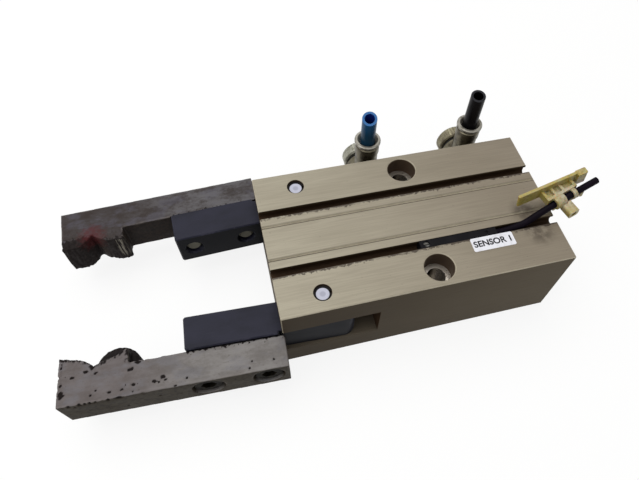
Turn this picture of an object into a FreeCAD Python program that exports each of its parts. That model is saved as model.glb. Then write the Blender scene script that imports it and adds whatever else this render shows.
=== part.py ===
import FreeCAD, Part
import math
import os

# Pneumatic gripper with two pivoting jaws, in millimetres.
# X points out of the jaws, Z points out of the face with the switch grooves.
# The origin lies between the two mounting holes, on the mounting face.

V = FreeCAD.Vector

# Body block
body_length = 138.0
body_width = 77.0
body_height = 47.0
body_edge = 0.4
front_x = 74.0
rear_x = front_x - body_length
axis_z = body_height / 2
side_y = body_width / 2

# Mounting holes
mount_spacing = 58.0
mount_hole_d = 9.0
counterbore_d = 14.0
counterbore_depth = 9.0

# Switch grooves and the fine lines beside them
groove_offset = 16.0
groove_mouth = 4.3
groove_lip = 1.4
groove_width = 6.4
groove_depth = 5.8
line_offset = 9.0
line_width = 1.2
line_depth = 0.6

# Jaw slot across the front of the body
slot_length = 45.0
slot_height = 19.2
slot_x = front_x - slot_length

# Cylinder
bore_d = 40.0
wall_length = 13.0
bore_front_x = slot_x - wall_length
rear_recess = 4.0
clip_thickness = 1.2
clip_groove = 1.0
clip_slack = 0.1
running_gap = 0.04
contact_gap = 0.02
seal_inset = 3.5
seal_length = 4.0
seal_wall = 3.5
bush_wall = 2.0
bush_rim = 1.5

# Rear cover
cover_inset = 4.0
cover_dish_d = 24.0
cover_dish_depth = 1.5
cover_groove_back = 6.0
cover_groove_width = 2.8
cover_groove_depth = 2.4
cover_hole_spacing = 31.0
cover_hole_d = 3.2
cover_hole_depth = 3.5

# Ports
port_front_inset = 17.4
port_rear_inset = 18.6
port_front_x = slot_x - port_front_inset
port_rear_x = rear_x + port_rear_inset
port_d = 8.7
port_depth = 10.0
port_passage_d = 4.0

# Jaw pivots
pivot_from_front = 20.0
pivot_spacing = 59.4
pin_d = 8.0
pin_nose_d = 6.6
pin_bottom_z = 3.0
pin_top_depth = 2.6
pin_recess = 1.4
pin_clip_thickness = 0.7
knockout_d = 4.0
pivot_x = front_x - pivot_from_front
pivot_y = pivot_spacing / 2

# Jaw travel, in degrees from jaws parallel
closed_angle = 2.45
travel = 30.0
middle_angle = travel / 2 - closed_angle

# Jaw lever
crank = 20.5
knuckle_r = 4.2
knuckle_gap = 0.35
neck_half = 2.9
arm_height = 12.0
lever_gap = 0.2
lever_height = slot_height - 2 * lever_gap
lever_inner = 6.5
lever_outer = 7.8
pad_outer = 9.3
pad_start = 21.8
lever_front = 61.7
lever_tail = 15.0
tail_round = 6.0
lever_edge = 0.5
bush_d = 11.0
bush_gap = 0.03

# Steel finger
finger_start = 18.8
finger_length = 94.6
finger_thickness = 14.8
finger_height = 17.4
tooth_start = 85.2
tip_inner = 2.6
valley_u = 99.8
valley_v = 8.2
near_front_curve = [(108.0, 3.7), (105.1, 4.6), (102.1, 5.9)]
near_slope_curve = [(95.2, 6.6), (90.4, 4.9)]
far_front_curve = [(108.4, 2.3), (104.6, 3.0), (101.3, 6.2)]
far_slope_curve = [(96.6, 5.6), (93.4, 3.8), (89.4, 2.8)]
lobe_r = 9.6
lobe_u = 91.0
lobe_v = 8.5
lobe_height = 12.0
lobe_round = 2.5
finger_end = finger_start + finger_length
finger_outer = pad_outer + finger_thickness

# Finger screws
screw_d = 8.0
screw_head_d = 13.0
screw_head_h = 8.0
screw_hex = 6.0
screw_length = 20.0
screw_seat = 9.0
screw_near_u = 28.0
screw_pitch = 26.0
screw_gap = 0.03
screw_edge = 0.8
screw_tip_edge = 1.25
screw_socket_depth = 4.0

# Piston and rod
rod_d = 14.0
rod_stub_d = 10.0
stroke = 2 * crank * math.sin(math.radians(travel / 2))
bumper_front_t = 2.4
bumper_rear_t = 2.0
spigot_length = 5.5
nose_length = 5.0
nose_d = 31.0
piston_gap = 0.08
pocket_d = 25.0
web_thickness = 14.6
end_gap = 0.15
seal_groove_start = 3.4
seal_groove_width = 4.4
seal_groove_depth = 3.6
magnet_groove_width = 4.6
magnet_groove_depth = 3.0
guide_groove_inset = 4.6
guide_groove_width = 5.0
guide_groove_depth = 1.5
nut_flats = 16.0
nut_thickness = 6.0
nut_stub = 2.0

# Crosshead on the rod
knuckle_x = pivot_x - crank * math.sin(math.radians(travel / 2))
notch_width = 2 * (knuckle_r + knuckle_gap)
head_wall = 4.2
head_width = 26.4
head_core = 9.0
head_height = 18.0
head_x0 = knuckle_x - notch_width / 2 - head_wall
head_x1 = knuckle_x + notch_width / 2 + head_wall

# Swivel elbow fittings, distances measured outward from the side face
washer_t = 1.5
hex_flats = 14.0
hex_end = 6.4
sleeve_end = 18.8
sleeve_d = 17.8
cap_washer_t = 1.2
cap_length = 6.9
cap_d = 18.8
cap_flutes = 36
flute_r = 0.3
swivel_gap = 0.2
stem_d = 10.0
stem_bore_d = 4.0
barrel_d = 12.8
barrel_offset = 12.7
barrel_top_z = 45.9
socket_d = 10.6
collar_d = 13.6
collar_neck_d = 10.4
collar_flange_t = 1.6
collar_travel = 1.2
tube_d = 7.6
tube_bore_d = 5.2
channel_d = 4.0
tube_seat_z = 34.0
tube_front_top_z = 62.7
tube_rear_top_z = 67.0
tube_front_cut = 18.0
tube_rear_cut = 10.0

# Magnetic switch, its cable and marker
switch_x0 = -33.0
switch_x1 = 5.0
switch_gap = 0.15
switch_screw_d = 3.0
cable_d = 3.3
cable_points = [
    (-33.0, 16.0, 44.6),
    (-45.0, 16.0, 44.6),
    (-57.0, 14.0, 54.0),
    (-84.6, 7.3, 60.0),
]
cable_bend_share = 0.45
flag_length = 35.0
flag_thickness = 1.4
flag_height = 7.6
flag_start = -18.5
flag_offset = 9.0
flag_lean = 6.5
label_length = 21.0
label_width = 7.2
label_t = 0.15
label_gap = 0.1
label_x = -39.5


def box(x0, x1, y0, y1, z0, z1):
    return Part.makeBox(x1 - x0, y1 - y0, z1 - z0, V(x0, y0, z0))


def rod_x(x0, x1, radius, y=0.0, z=None):
    """Cylinder along X, on the cylinder axis unless y and z say otherwise."""
    height = axis_z if z is None else z
    return Part.makeCylinder(radius, x1 - x0, V(x0, y, height), V(1, 0, 0))


def rod_z(x, y, z0, z1, radius):
    return Part.makeCylinder(radius, z1 - z0, V(x, y, z0), V(0, 0, 1))


def rod_out(x, s0, s1, radius):
    """Cylinder square to the port side, between two distances from that face."""
    return Part.makeCylinder(radius, s1 - s0, V(x, -side_y - s0, axis_z), V(0, -1, 0))


def turned(points):
    """Solid of revolution about the cylinder axis from (x, radius) points."""
    corners = [V(x, 0, axis_z + r) for x, r in points]
    face = Part.Face(Part.makePolygon(corners + [corners[0]]))
    return face.revolve(V(0, 0, axis_z), V(1, 0, 0), 360)


def prism(points, z0, z1):
    corners = [V(x, y, z0) for x, y in points]
    face = Part.Face(Part.makePolygon(corners + [corners[0]]))
    return face.extrude(V(0, 0, z1 - z0))


def hexagon(flats, x0, x1):
    """Hexagonal bar along X about the cylinder axis."""
    corner = flats / math.sqrt(3)
    points = []
    for i in range(7):
        turn = math.radians(60 * i)
        points.append(V(x0, corner * math.cos(turn), axis_z + corner * math.sin(turn)))
    return Part.Face(Part.makePolygon(points)).extrude(V(x1 - x0, 0, 0))


def upright(shape, low, high, spots):
    """Edges of a shape that run straight up through the given (x, y) spots."""
    chosen = []
    for edge in shape.Edges:
        if len(edge.Vertexes) != 2:
            continue
        a, b = edge.Vertexes[0].Point, edge.Vertexes[1].Point
        if abs(a.x - b.x) > 1e-4 or abs(a.y - b.y) > 1e-4:
            continue
        if abs(min(a.z, b.z) - low) > 1e-3 or abs(max(a.z, b.z) - high) > 1e-3:
            continue
        for x, y in spots:
            if abs(a.x - x) < 1e-3 and abs(a.y - y) < 1e-3:
                chosen.append(edge)
    return chosen


def break_rim(shape, z, size):
    """Chamfer every edge that lies in the plane at height z."""
    edges = []
    for edge in shape.Edges:
        bound = edge.BoundBox
        if abs(bound.ZMin - z) < 1e-4 and abs(bound.ZMax - z) < 1e-4:
            edges.append(edge)
    return shape.makeChamfer(size, edges)


def placed_jaw(shape, side):
    """Move a shape drawn with straight jaws about its pivot to the closed jaw."""
    jaw = shape.copy()
    jaw.rotate(V(0, 0, 0), V(0, 0, 1), -closed_angle)
    jaw.translate(V(pivot_x, pivot_y, 0))
    if side < 0:
        jaw = jaw.mirror(V(0, 0, 0), V(0, 1, 0))
    return jaw


def groove_cutter(side):
    """T-shaped switch groove, open at the top face."""
    y = side * groove_offset
    top = body_height
    half = groove_mouth / 2
    inner = groove_width / 2
    mouth = box(rear_x - 1, front_x + 1, y - half, y + half, top - groove_depth, top + 1)
    wide = box(rear_x - 1, front_x + 1, y - inner, y + inner, top - groove_depth, top - groove_lip)
    long_edges = []
    for edge in wide.Edges:
        bound = edge.BoundBox
        if bound.XLength > body_length and abs(bound.ZMin - (top - groove_depth)) < 1e-4:
            long_edges.append(edge)
    wide = wide.makeFillet(1.4, long_edges)
    return mouth.fuse(wide)


def line_cutter(side):
    """Fine V-shaped line along the middle strip of the top face."""
    y = side * line_offset
    half = line_width / 2
    top = body_height
    corners = [V(rear_x - 1, y - half, top), V(rear_x - 1, y, top - line_depth)]
    corners += [V(rear_x - 1, y + half, top), V(rear_x - 1, y, top + 1)]
    face = Part.Face(Part.makePolygon(corners + [corners[0]]))
    return face.extrude(V(body_length + 2, 0, 0))


def body():
    block = box(rear_x, front_x, -side_y, side_y, 0, body_height)
    block = block.makeChamfer(body_edge, block.Edges)
    cuts = []
    for side in (1, -1):
        cuts.append(groove_cutter(side))
        cuts.append(line_cutter(side))
        y = side * mount_spacing / 2
        cuts.append(rod_z(0, y, -1, body_height + 1, mount_hole_d / 2))
        cuts.append(rod_z(0, y, body_height - counterbore_depth, body_height + 1, counterbore_d / 2))
        rim = counterbore_d / 2
        cuts.append(Part.makeCone(rim, rim + 1, 1, V(0, y, body_height - 0.5), V(0, 0, 1)))
        y = side * pivot_y
        cuts.append(rod_z(pivot_x, y, pin_bottom_z, body_height + 1, pin_d / 2))
        cuts.append(rod_z(pivot_x, y, -1, body_height, knockout_d / 2))
        mouth_r = pin_d / 2 + 0.15
        cuts.append(rod_z(pivot_x, y, body_height - pin_top_depth, body_height + 1, mouth_r))
        clip_z = body_height - pin_top_depth + 0.5
        cuts.append(rod_z(pivot_x, y, clip_z, clip_z + pin_clip_thickness + 0.1, mouth_r + 0.4))
    half = slot_height / 2
    cuts.append(box(slot_x, front_x + 1, -side_y - 1, side_y + 1, axis_z - half, axis_z + half))
    bore_r = bore_d / 2
    cuts.append(rod_x(rear_x - 1, bore_front_x, bore_r))
    clip_x = rear_x + rear_recess - clip_thickness - clip_slack
    cuts.append(rod_x(clip_x, rear_x + rear_recess, bore_r + clip_groove))
    cuts.append(Part.makeCone(bore_r + 1.5, bore_r, 1.5, V(rear_x, 0, axis_z), V(1, 0, 0)))
    cuts.append(rod_x(bore_front_x - 1, slot_x + 1, rod_d / 2 + 0.2))
    cuts.append(rod_x(seal_x0(), bush_x0(), rod_d / 2 + seal_wall))
    cuts.append(rod_x(bush_x0(), slot_x + 1, bush_outer()))
    cuts.append(rod_x(slot_x - bush_rim, slot_x + 1, bush_outer() + bush_wall))
    for x in (port_front_x, port_rear_x):
        cuts.append(rod_out(x, -port_depth, 1, port_d / 2))
        cuts.append(rod_out(x, -(side_y - bore_r) - 3, -port_depth + 1, port_passage_d / 2))
    return block.cut(cuts)


def seal_x0():
    return bore_front_x + seal_inset


def bush_x0():
    return seal_x0() + seal_length


def bush_outer():
    return rod_d / 2 + bush_wall


def rod_bush():
    inner = rod_d / 2 + running_gap
    outer = bush_outer() - contact_gap
    x0 = bush_x0()
    x2 = slot_x - contact_gap
    x1 = slot_x - bush_rim + contact_gap
    rim = outer + bush_wall
    profile = [(x0, inner), (x0, outer - 0.4), (x0 + 0.4, outer), (x1, outer)]
    profile += [(x1, rim), (x2, rim), (x2, inner + 0.5), (x2 - 0.5, inner)]
    return turned(profile)


def rod_seal():
    inner = rod_d / 2 + running_gap
    outer = rod_d / 2 + seal_wall - contact_gap
    x0 = seal_x0() + contact_gap
    x1 = bush_x0() - contact_gap
    middle = (inner + outer) / 2
    profile = [(x0, inner), (x0, middle - 0.5), (x0 + 1.6, middle), (x0, middle + 0.5), (x0, outer)]
    profile += [(x1, outer), (x1, inner + 0.8), (x1 - 0.6, inner + 0.3), (x0 + 1.5, inner + 0.3)]
    return turned(profile)


def cover_front_x():
    return port_rear_x - cover_inset


def rear_cover():
    r = bore_d / 2 - running_gap
    x0 = rear_x + rear_recess
    x1 = cover_front_x()
    x2 = x1 + spigot_length
    groove = x1 - cover_groove_back
    after = groove + cover_groove_width
    low = r - cover_groove_depth
    dish = cover_dish_d / 2
    floor = x0 + cover_dish_depth
    profile = [(floor, 0), (floor, dish), (x0, dish), (x0, r - 0.8), (x0 + 0.8, r), (groove, r)]
    profile += [(groove, low), (after, low), (after, r), (x1, r)]
    profile += [(x1, r - 3), (x2 - 0.8, r - 3), (x2, r - 3.8), (x2, 9), (x2 - 1.5, 7), (x2 - 1.5, 0)]
    cover = turned(profile)
    for side in (1, -1):
        y = side * cover_hole_spacing / 2
        cover = cover.cut(rod_x(x0 - 1, x0 + cover_hole_depth, cover_hole_d / 2, y, axis_z))
    return cover


def cover_seal():
    thick = cover_groove_depth / 2
    centre = bore_d / 2 - running_gap - thick + contact_gap / 2
    middle = cover_front_x() - cover_groove_back + cover_groove_width / 2
    return Part.makeTorus(centre, thick - contact_gap, V(middle, 0, axis_z), V(1, 0, 0))


def cover_clip():
    """Internal retaining ring with its gap and two plier lugs at the bottom."""
    outer = bore_d / 2 + clip_groove - clip_slack
    inner = bore_d / 2 - 1.7
    x1 = rear_x + rear_recess - contact_gap
    x0 = x1 - clip_thickness
    ring = rod_x(x0, x1, outer).cut(rod_x(x0 - 1, x1 + 1, inner))
    ring = ring.cut(box(x0 - 1, x1 + 1, -4, 4, axis_z - outer - 1, axis_z))
    for side in (1, -1):
        y = side * 6.0
        lug = rod_x(x0, x1, 2.3, y, axis_z - inner + 0.6)
        ring = ring.fuse(lug)
        ring = ring.cut(rod_x(x0 - 1, x1 + 1, 0.9, y, axis_z - inner + 0.6))
    return ring


def piston_rear_x():
    return cover_front_x() + spigot_length + bumper_rear_t + end_gap


def piston_front_x():
    return bore_front_x - contact_gap - bumper_front_t - end_gap - stroke


def ring_spots():
    """Start, width and depth of the seal, magnet and guide ring grooves."""
    seal_x = piston_rear_x() + seal_groove_start
    guide_x = piston_front_x() - nose_length - guide_groove_inset - guide_groove_width
    middle = (seal_x + seal_groove_width + guide_x) / 2
    return {
        "seal": (seal_x, seal_groove_width, seal_groove_depth),
        "magnet": (middle - magnet_groove_width / 2, magnet_groove_width, magnet_groove_depth),
        "guide": (guide_x, guide_groove_width, guide_groove_depth),
    }


def piston():
    x0 = piston_rear_x()
    x2 = piston_front_x()
    x1 = x2 - nose_length
    r = bore_d / 2 - piston_gap
    pocket = pocket_d / 2
    web = x2 - web_thickness
    profile = [(x0, pocket), (x0, r - 0.6), (x0 + 0.6, r)]
    for name in ("seal", "magnet", "guide"):
        start, width, depth = ring_spots()[name]
        profile += [(start, r), (start, r - depth)]
        profile += [(start + width, r - depth), (start + width, r)]
    profile += [(x1, r), (x1, nose_d / 2), (x2 - 0.8, nose_d / 2), (x2, nose_d / 2 - 0.8)]
    hole = rod_stub_d / 2 + contact_gap
    profile += [(x2, hole), (web, hole), (web, pocket - 2), (web - 2, pocket)]
    return turned(profile)


def piston_seal():
    start, width, depth = ring_spots()["seal"]
    r = bore_d / 2 - running_gap
    low = bore_d / 2 - piston_gap - depth + contact_gap
    x0 = start + 0.2
    x1 = start + width - 0.2
    middle = (x0 + x1) / 2
    profile = [(x0, low), (x0 + 0.3, r - 0.5), (x0 + 0.8, r), (middle - 0.3, r - 0.6)]
    profile += [(middle + 0.3, r - 0.6), (x1 - 0.8, r), (x1 - 0.3, r - 0.5), (x1, low)]
    return turned(profile)


def piston_magnet():
    start, width, depth = ring_spots()["magnet"]
    r = bore_d / 2 - piston_gap
    low = r - depth + contact_gap
    profile = [(start + 0.1, low), (start + 0.1, r - 0.5), (start + width - 0.1, r - 0.5)]
    profile += [(start + width - 0.1, low)]
    return turned(profile)


def guide_ring():
    """Split guide ring of the piston, with its slanted joint."""
    start, width, depth = ring_spots()["guide"]
    outer = bore_d / 2 - running_gap
    low = bore_d / 2 - piston_gap - depth + contact_gap
    x0 = start + 0.1
    x1 = start + width - 0.1
    ring = turned([(x0, low), (x0, outer), (x1, outer), (x1, low)])
    joint = box(x0 - 4, x1 + 4, -0.4, 0.4, axis_z, axis_z + bore_d)
    joint.rotate(V((x0 + x1) / 2, 0, axis_z), V(0, 0, 1), 30)
    return ring.cut(joint)


def nut_front_x():
    return piston_front_x() - web_thickness


def piston_nut():
    x1 = nut_front_x() - contact_gap
    x0 = x1 - nut_thickness
    nut = hexagon(nut_flats, x0, x1)
    half = nut_flats / 2
    wide = nut_flats / math.sqrt(3) + contact_gap
    nut = nut.common(turned([(x0, 0), (x0, half), (x0 + 0.7, wide), (x1, wide), (x1, 0)]))
    return nut.cut(rod_x(x0 - 1, x1 + 1, rod_stub_d / 2 + contact_gap))


def bumper(x0, x1, inner, outer):
    edge = 0.4
    profile = [(x0, inner), (x0, outer - edge), (x0 + edge, outer)]
    profile += [(x1 - edge, outer), (x1, outer - edge), (x1, inner)]
    return turned(profile)


def front_bumper():
    x1 = bore_front_x - contact_gap
    return bumper(x1 - bumper_front_t, x1, rod_d / 2 + 1.0, nose_d / 2 - 1.5)


def rear_bumper():
    x0 = cover_front_x() + spigot_length + contact_gap
    return bumper(x0, x0 + bumper_rear_t, pocket_d / 2 + 0.5, bore_d / 2 - 4)


def piston_rod():
    """Rod in one piece with the crosshead that moves both jaws."""
    nut_end = nut_front_x() - nut_thickness - nut_stub
    shoulder = piston_front_x() + contact_gap
    stub = rod_stub_d / 2
    profile = [(nut_end, 0), (nut_end, stub - 0.8), (nut_end + 0.8, stub), (shoulder, stub)]
    profile += [(shoulder, rod_d / 2 - 0.6), (shoulder + 0.6, rod_d / 2)]
    profile += [(head_x0 + 1, rod_d / 2), (head_x0 + 1, 0)]
    rod = turned(profile)
    half = head_width / 2
    tall = head_height / 2
    head = box(head_x0, head_x1, -half, half, axis_z - tall, axis_z + tall)
    corners = [(head_x0, -half), (head_x0, half), (head_x1, -half), (head_x1, half)]
    head = head.makeFillet(1.6, upright(head, axis_z - tall, axis_z + tall, corners))
    for side in (1, -1):
        core = side * head_core / 2
        reach = side * (half + 1)
        y0, y1 = min(core, reach), max(core, reach)
        x0 = knuckle_x - notch_width / 2
        notch = box(x0, x0 + notch_width, y0, y1, axis_z - tall - 1, axis_z + tall + 1)
        inner = [(x0, core), (x0 + notch_width, core)]
        notch = notch.makeFillet(1.2, upright(notch, axis_z - tall - 1, axis_z + tall + 1, inner))
        head = head.cut(notch)
    head = break_rim(head, axis_z + tall, 0.5)
    head = break_rim(head, axis_z - tall, 0.5)
    return rod.fuse(head).removeSplitter()


def lever(side):
    """Jaw lever: clamping pad in front, eye on the pivot, cranked arm inward."""
    z0 = axis_z - lever_height / 2
    z1 = axis_z + lever_height / 2
    outline = [(lever_front, -lever_inner), (lever_front, pad_outer), (pad_start, pad_outer)]
    outline += [(pad_start - 0.8, lever_outer), (-lever_tail, lever_outer), (-lever_tail, -lever_inner)]
    bar = prism(outline, z0, z1)
    bar = bar.makeFillet(tail_round, upright(bar, z0, z1, [(-lever_tail, lever_outer)]))
    bar = bar.makeFillet(3.0, upright(bar, z0, z1, [(-lever_tail, -lever_inner)]))
    front = [(lever_front, -lever_inner), (lever_front, pad_outer)]
    bar = bar.makeChamfer(0.8, upright(bar, z0, z1, front))
    bar = break_rim(bar, z1, lever_edge)
    bar = break_rim(bar, z0, lever_edge)
    lean = math.radians(middle_angle)
    away = V(-math.sin(lean), -math.cos(lean), 0)
    across = V(math.cos(lean), -math.sin(lean), 0)
    reach = crank - knuckle_r - 2.4
    arm_z0 = axis_z - arm_height / 2
    arm_z1 = axis_z + arm_height / 2
    spots = []
    for along, wide in ((0, 8.0), (reach, neck_half), (crank, neck_half)):
        spots.append(away * along + across * wide)
    for along, wide in ((crank, -neck_half), (reach, -neck_half), (0, -8.0)):
        spots.append(away * along + across * wide)
    arm = prism([(p.x, p.y) for p in spots], arm_z0, arm_z1)
    end = away * crank
    knuckle = rod_z(end.x, end.y, arm_z0, arm_z1, knuckle_r)
    knuckle = break_rim(knuckle, arm_z1, 0.4)
    knuckle = break_rim(knuckle, arm_z0, 0.4)
    whole = bar.fuse([arm, knuckle])
    whole = whole.cut(rod_z(0, 0, z0 - 1, z1 + 1, bush_d / 2))
    for u in screw_spots():
        hole = Part.makeCylinder(screw_d / 2, 30, V(u, -10, axis_z), V(0, 1, 0))
        rim = Part.makeCone(screw_d / 2 + 0.8, screw_d / 2, 0.8, V(u, -lever_inner, axis_z), V(0, 1, 0))
        whole = whole.cut([hole, rim])
    return placed_jaw(whole, side)


def screw_spots():
    return (screw_near_u, screw_near_u + screw_pitch)


def jaw_bush(side):
    z0 = axis_z - lever_height / 2
    z1 = axis_z + lever_height / 2
    bush = rod_z(0, 0, z0, z1, bush_d / 2 - contact_gap)
    bush = bush.cut(rod_z(0, 0, z0 - 1, z1 + 1, pin_d / 2 + bush_gap))
    return placed_jaw(bush, side)


def pivot_pin(side):
    r = pin_d / 2 - contact_gap
    top = body_height - pin_top_depth
    nose = body_height - pin_recess
    y = side * pivot_y
    shank = rod_z(pivot_x, y, pin_bottom_z + 0.6, top, r)
    tip = Part.makeCone(r - 0.6, r, 0.6, V(pivot_x, y, pin_bottom_z), V(0, 0, 1))
    head = rod_z(pivot_x, y, top, nose, pin_nose_d / 2)
    head = break_rim(head, nose, 0.3)
    return shank.fuse([tip, head]).removeSplitter()


def pin_clips():
    """Round wire-form clips that keep the two pivot pins in the body."""
    clips = []
    z0 = body_height - pin_top_depth + 0.5 + 0.05
    outer = pin_d / 2 + 0.15 + 0.35
    for side in (1, -1):
        y = side * pivot_y
        ring = rod_z(pivot_x, y, z0, z0 + pin_clip_thickness, outer)
        ring = ring.cut(rod_z(pivot_x, y, z0 - 1, z0 + 2, pin_nose_d / 2 + 0.05))
        gap = box(pivot_x - 8, pivot_x, y - 0.9, y + 0.9, z0 - 1, z0 + 2)
        clips.append(ring.cut(gap))
    return Part.makeCompound(clips)


def finger(side):
    """Steel finger bolted outside its lever, with the worn gripping tip."""
    z0 = axis_z - lever_height / 2
    z1 = z0 + finger_height
    rear = finger_start
    points = [V(rear, pad_outer, z0), V(rear, finger_outer, z0), V(finger_end, finger_outer, z0)]
    points.append(V(finger_end, tip_inner, z0))
    front_curve = near_front_curve if side > 0 else far_front_curve
    slope_curve = near_slope_curve if side > 0 else far_slope_curve
    valley = (valley_u, valley_v)
    tooth = (tooth_start + 0.6, tip_inner)
    lobe = Part.BSplineCurve()
    lobe.interpolate([V(u, v, z0) for u, v in [(finger_end, tip_inner)] + front_curve + [valley]])
    slope = Part.BSplineCurve()
    slope.interpolate([V(u, v, z0) for u, v in [valley] + slope_curve + [tooth]])
    outer = Part.makePolygon(points)
    edges = list(outer.Edges)
    edges.append(lobe.toShape())
    edges.append(slope.toShape())
    rest = [V(tooth[0], tooth[1], z0), V(tooth_start, tip_inner + 0.6, z0), V(tooth_start, pad_outer, z0)]
    rest.append(V(rear, pad_outer, z0))
    edges += Part.makePolygon(rest).Edges
    bar = Part.Face(Part.Wire(edges)).extrude(V(0, 0, finger_height))
    if side > 0:
        boss = rod_z(lobe_u, lobe_v, z0, z0 + lobe_height, lobe_r)
        top = boss.BoundBox.ZMax
        boss = boss.makeFillet(lobe_round, [e for e in boss.Edges if abs(e.BoundBox.ZMin - top) < 1e-4])
        bar = bar.fuse(boss)
    for u in screw_spots():
        seat = finger_outer - screw_seat
        hole = Part.makeCylinder(screw_d / 2 + 0.25, 40, V(u, 0, axis_z), V(0, 1, 0))
        sink = Part.makeCylinder(counterbore_d / 2, 20, V(u, seat, axis_z), V(0, 1, 0))
        bar = bar.cut([hole, sink])
    return placed_jaw(bar, side)


def finger_screws(side):
    """Two socket head screws that hold a finger on its lever."""
    seat = finger_outer - screw_seat
    screws = []
    for u in screw_spots():
        head = Part.makeCylinder(screw_head_d / 2, screw_head_h, V(u, seat, axis_z), V(0, 1, 0))
        rim = [e for e in head.Edges if abs(e.BoundBox.YMin - seat - screw_head_h) < 1e-4]
        head = head.makeChamfer(screw_edge, rim)
        r = screw_d / 2 - screw_gap
        shank = Part.makeCylinder(r, screw_length, V(u, seat - screw_length, axis_z), V(0, 1, 0))
        tip = [e for e in shank.Edges if abs(e.BoundBox.YMax - seat + screw_length) < 1e-4]
        shank = shank.makeChamfer(screw_tip_edge, tip)
        corner = screw_hex / math.sqrt(3)
        floor = seat + screw_head_h - screw_socket_depth
        ring = []
        for i in range(7):
            turn = math.radians(60 * i)
            ring.append(V(u + corner * math.cos(turn), floor, axis_z + corner * math.sin(turn)))
        socket = Part.Face(Part.makePolygon(ring)).extrude(V(0, screw_socket_depth + 2, 0))
        screws.append(placed_jaw(head.fuse(shank).cut(socket), side))
    return Part.makeCompound(screws)


def port_washer(x):
    ring = rod_out(x, contact_gap, washer_t, 7.4)
    return ring.cut(rod_out(x, -1, washer_t + 1, port_d / 2 + 0.05))


def turned_out(x, points):
    """Solid of revolution about a port axis from (distance, radius) points."""
    corners = [V(x, -side_y - s, axis_z + r) for s, r in points]
    face = Part.Face(Part.makePolygon(corners + [corners[0]]))
    return face.revolve(V(x, 0, axis_z), V(0, 1, 0), 360)


def port_stem(x):
    """Hollow stem: thread in the body, hexagon, and the journal of the elbow."""
    corner = hex_flats / math.sqrt(3)
    seat = -side_y - washer_t - contact_gap
    points = []
    for i in range(7):
        turn = math.radians(60 * i + 30)
        points.append(V(x + corner * math.cos(turn), seat, axis_z + corner * math.sin(turn)))
    flange = Part.Face(Part.makePolygon(points)).extrude(V(0, -(hex_end - washer_t - contact_gap), 0))
    thread = port_d / 2 - contact_gap
    neck = rod_out(x, -port_depth + 1.5, washer_t + 1, thread)
    journal_end = sleeve_end + swivel_gap + cap_washer_t + 3
    journal = rod_out(x, hex_end - 1, journal_end, stem_d / 2)
    stem = flange.fuse([neck, journal])
    stem = stem.cut(rod_out(x, -port_depth, barrel_offset + 2, stem_bore_d / 2))
    window = Part.makeCylinder(1.6, 20, V(x, -side_y - barrel_offset, axis_z - 10), V(0, 0, 1))
    return stem.cut(window).removeSplitter()


def elbow(x):
    """Swivel sleeve with its upright socket, and a waist below the rim."""
    s0 = hex_end + swivel_gap
    r = sleeve_d / 2
    profile = [(s0, 0), (s0, r - 0.8), (s0 + 0.8, r), (sleeve_end - 0.8, r)]
    profile += [(sleeve_end, r - 0.8), (sleeve_end, 0)]
    sleeve = turned_out(x, profile)
    y = -side_y - barrel_offset
    wide = barrel_d / 2
    rim = barrel_top_z
    barrel = rod_z(x, y, axis_z, rim - 5, wide - 0.4)
    band = rod_z(x, y, rim - 5, rim, wide)
    band = break_rim(band, rim, 0.5)
    whole = sleeve.fuse([barrel, band])
    whole = whole.cut(rod_out(x, 0, sleeve_end + 2, stem_d / 2 + running_gap))
    channel = rod_z(x, y, axis_z + 3, rim, channel_d / 2)
    socket = rod_z(x, y, tube_seat_z, rim + 1, tube_d / 2 + running_gap)
    mouth = rod_z(x, y, tube_seat_z + 3.5, rim + 1, socket_d / 2)
    return whole.cut([channel, socket, mouth]).removeSplitter()


def release_collar(x):
    """Push-in release collar that slides on the tube."""
    y = -side_y - barrel_offset
    z0 = tube_seat_z + 3.5 + collar_travel + 0.4
    z1 = barrel_top_z + collar_travel
    z2 = z1 + collar_flange_t
    neck = rod_z(x, y, z0, z1, collar_neck_d / 2)
    flange = rod_z(x, y, z1, z2, collar_d / 2)
    flange = break_rim(flange, z2, 0.5)
    collar = neck.fuse(flange)
    collar = collar.cut(rod_z(x, y, z0 - 1, z2 + 1, tube_d / 2 + running_gap))
    funnel = Part.makeCone(tube_d / 2, tube_d / 2 + 1.6, 2.2, V(x, y, z2 - 2.2), V(0, 0, 1))
    return collar.cut(funnel).removeSplitter()


def port_tube(x, top, cut_angle):
    """Tube left in its socket, cut off askew."""
    y = -side_y - barrel_offset
    tube = rod_z(x, y, tube_seat_z + contact_gap, top + 2, tube_d / 2)
    tube = tube.cut(rod_z(x, y, tube_seat_z - 1, top + 3, tube_bore_d / 2))
    knife = box(x - 20, x + 20, y - 20, y + 20, top, top + 20)
    knife.rotate(V(x, y, top), V(-0.94, 0.33, 0), cut_angle)
    return tube.cut(knife)


def cap_washer(x):
    s0 = sleeve_end + swivel_gap
    ring = rod_out(x, s0, s0 + cap_washer_t, 7.6)
    return ring.cut(rod_out(x, s0 - 1, s0 + 3, stem_d / 2 + contact_gap))


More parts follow.
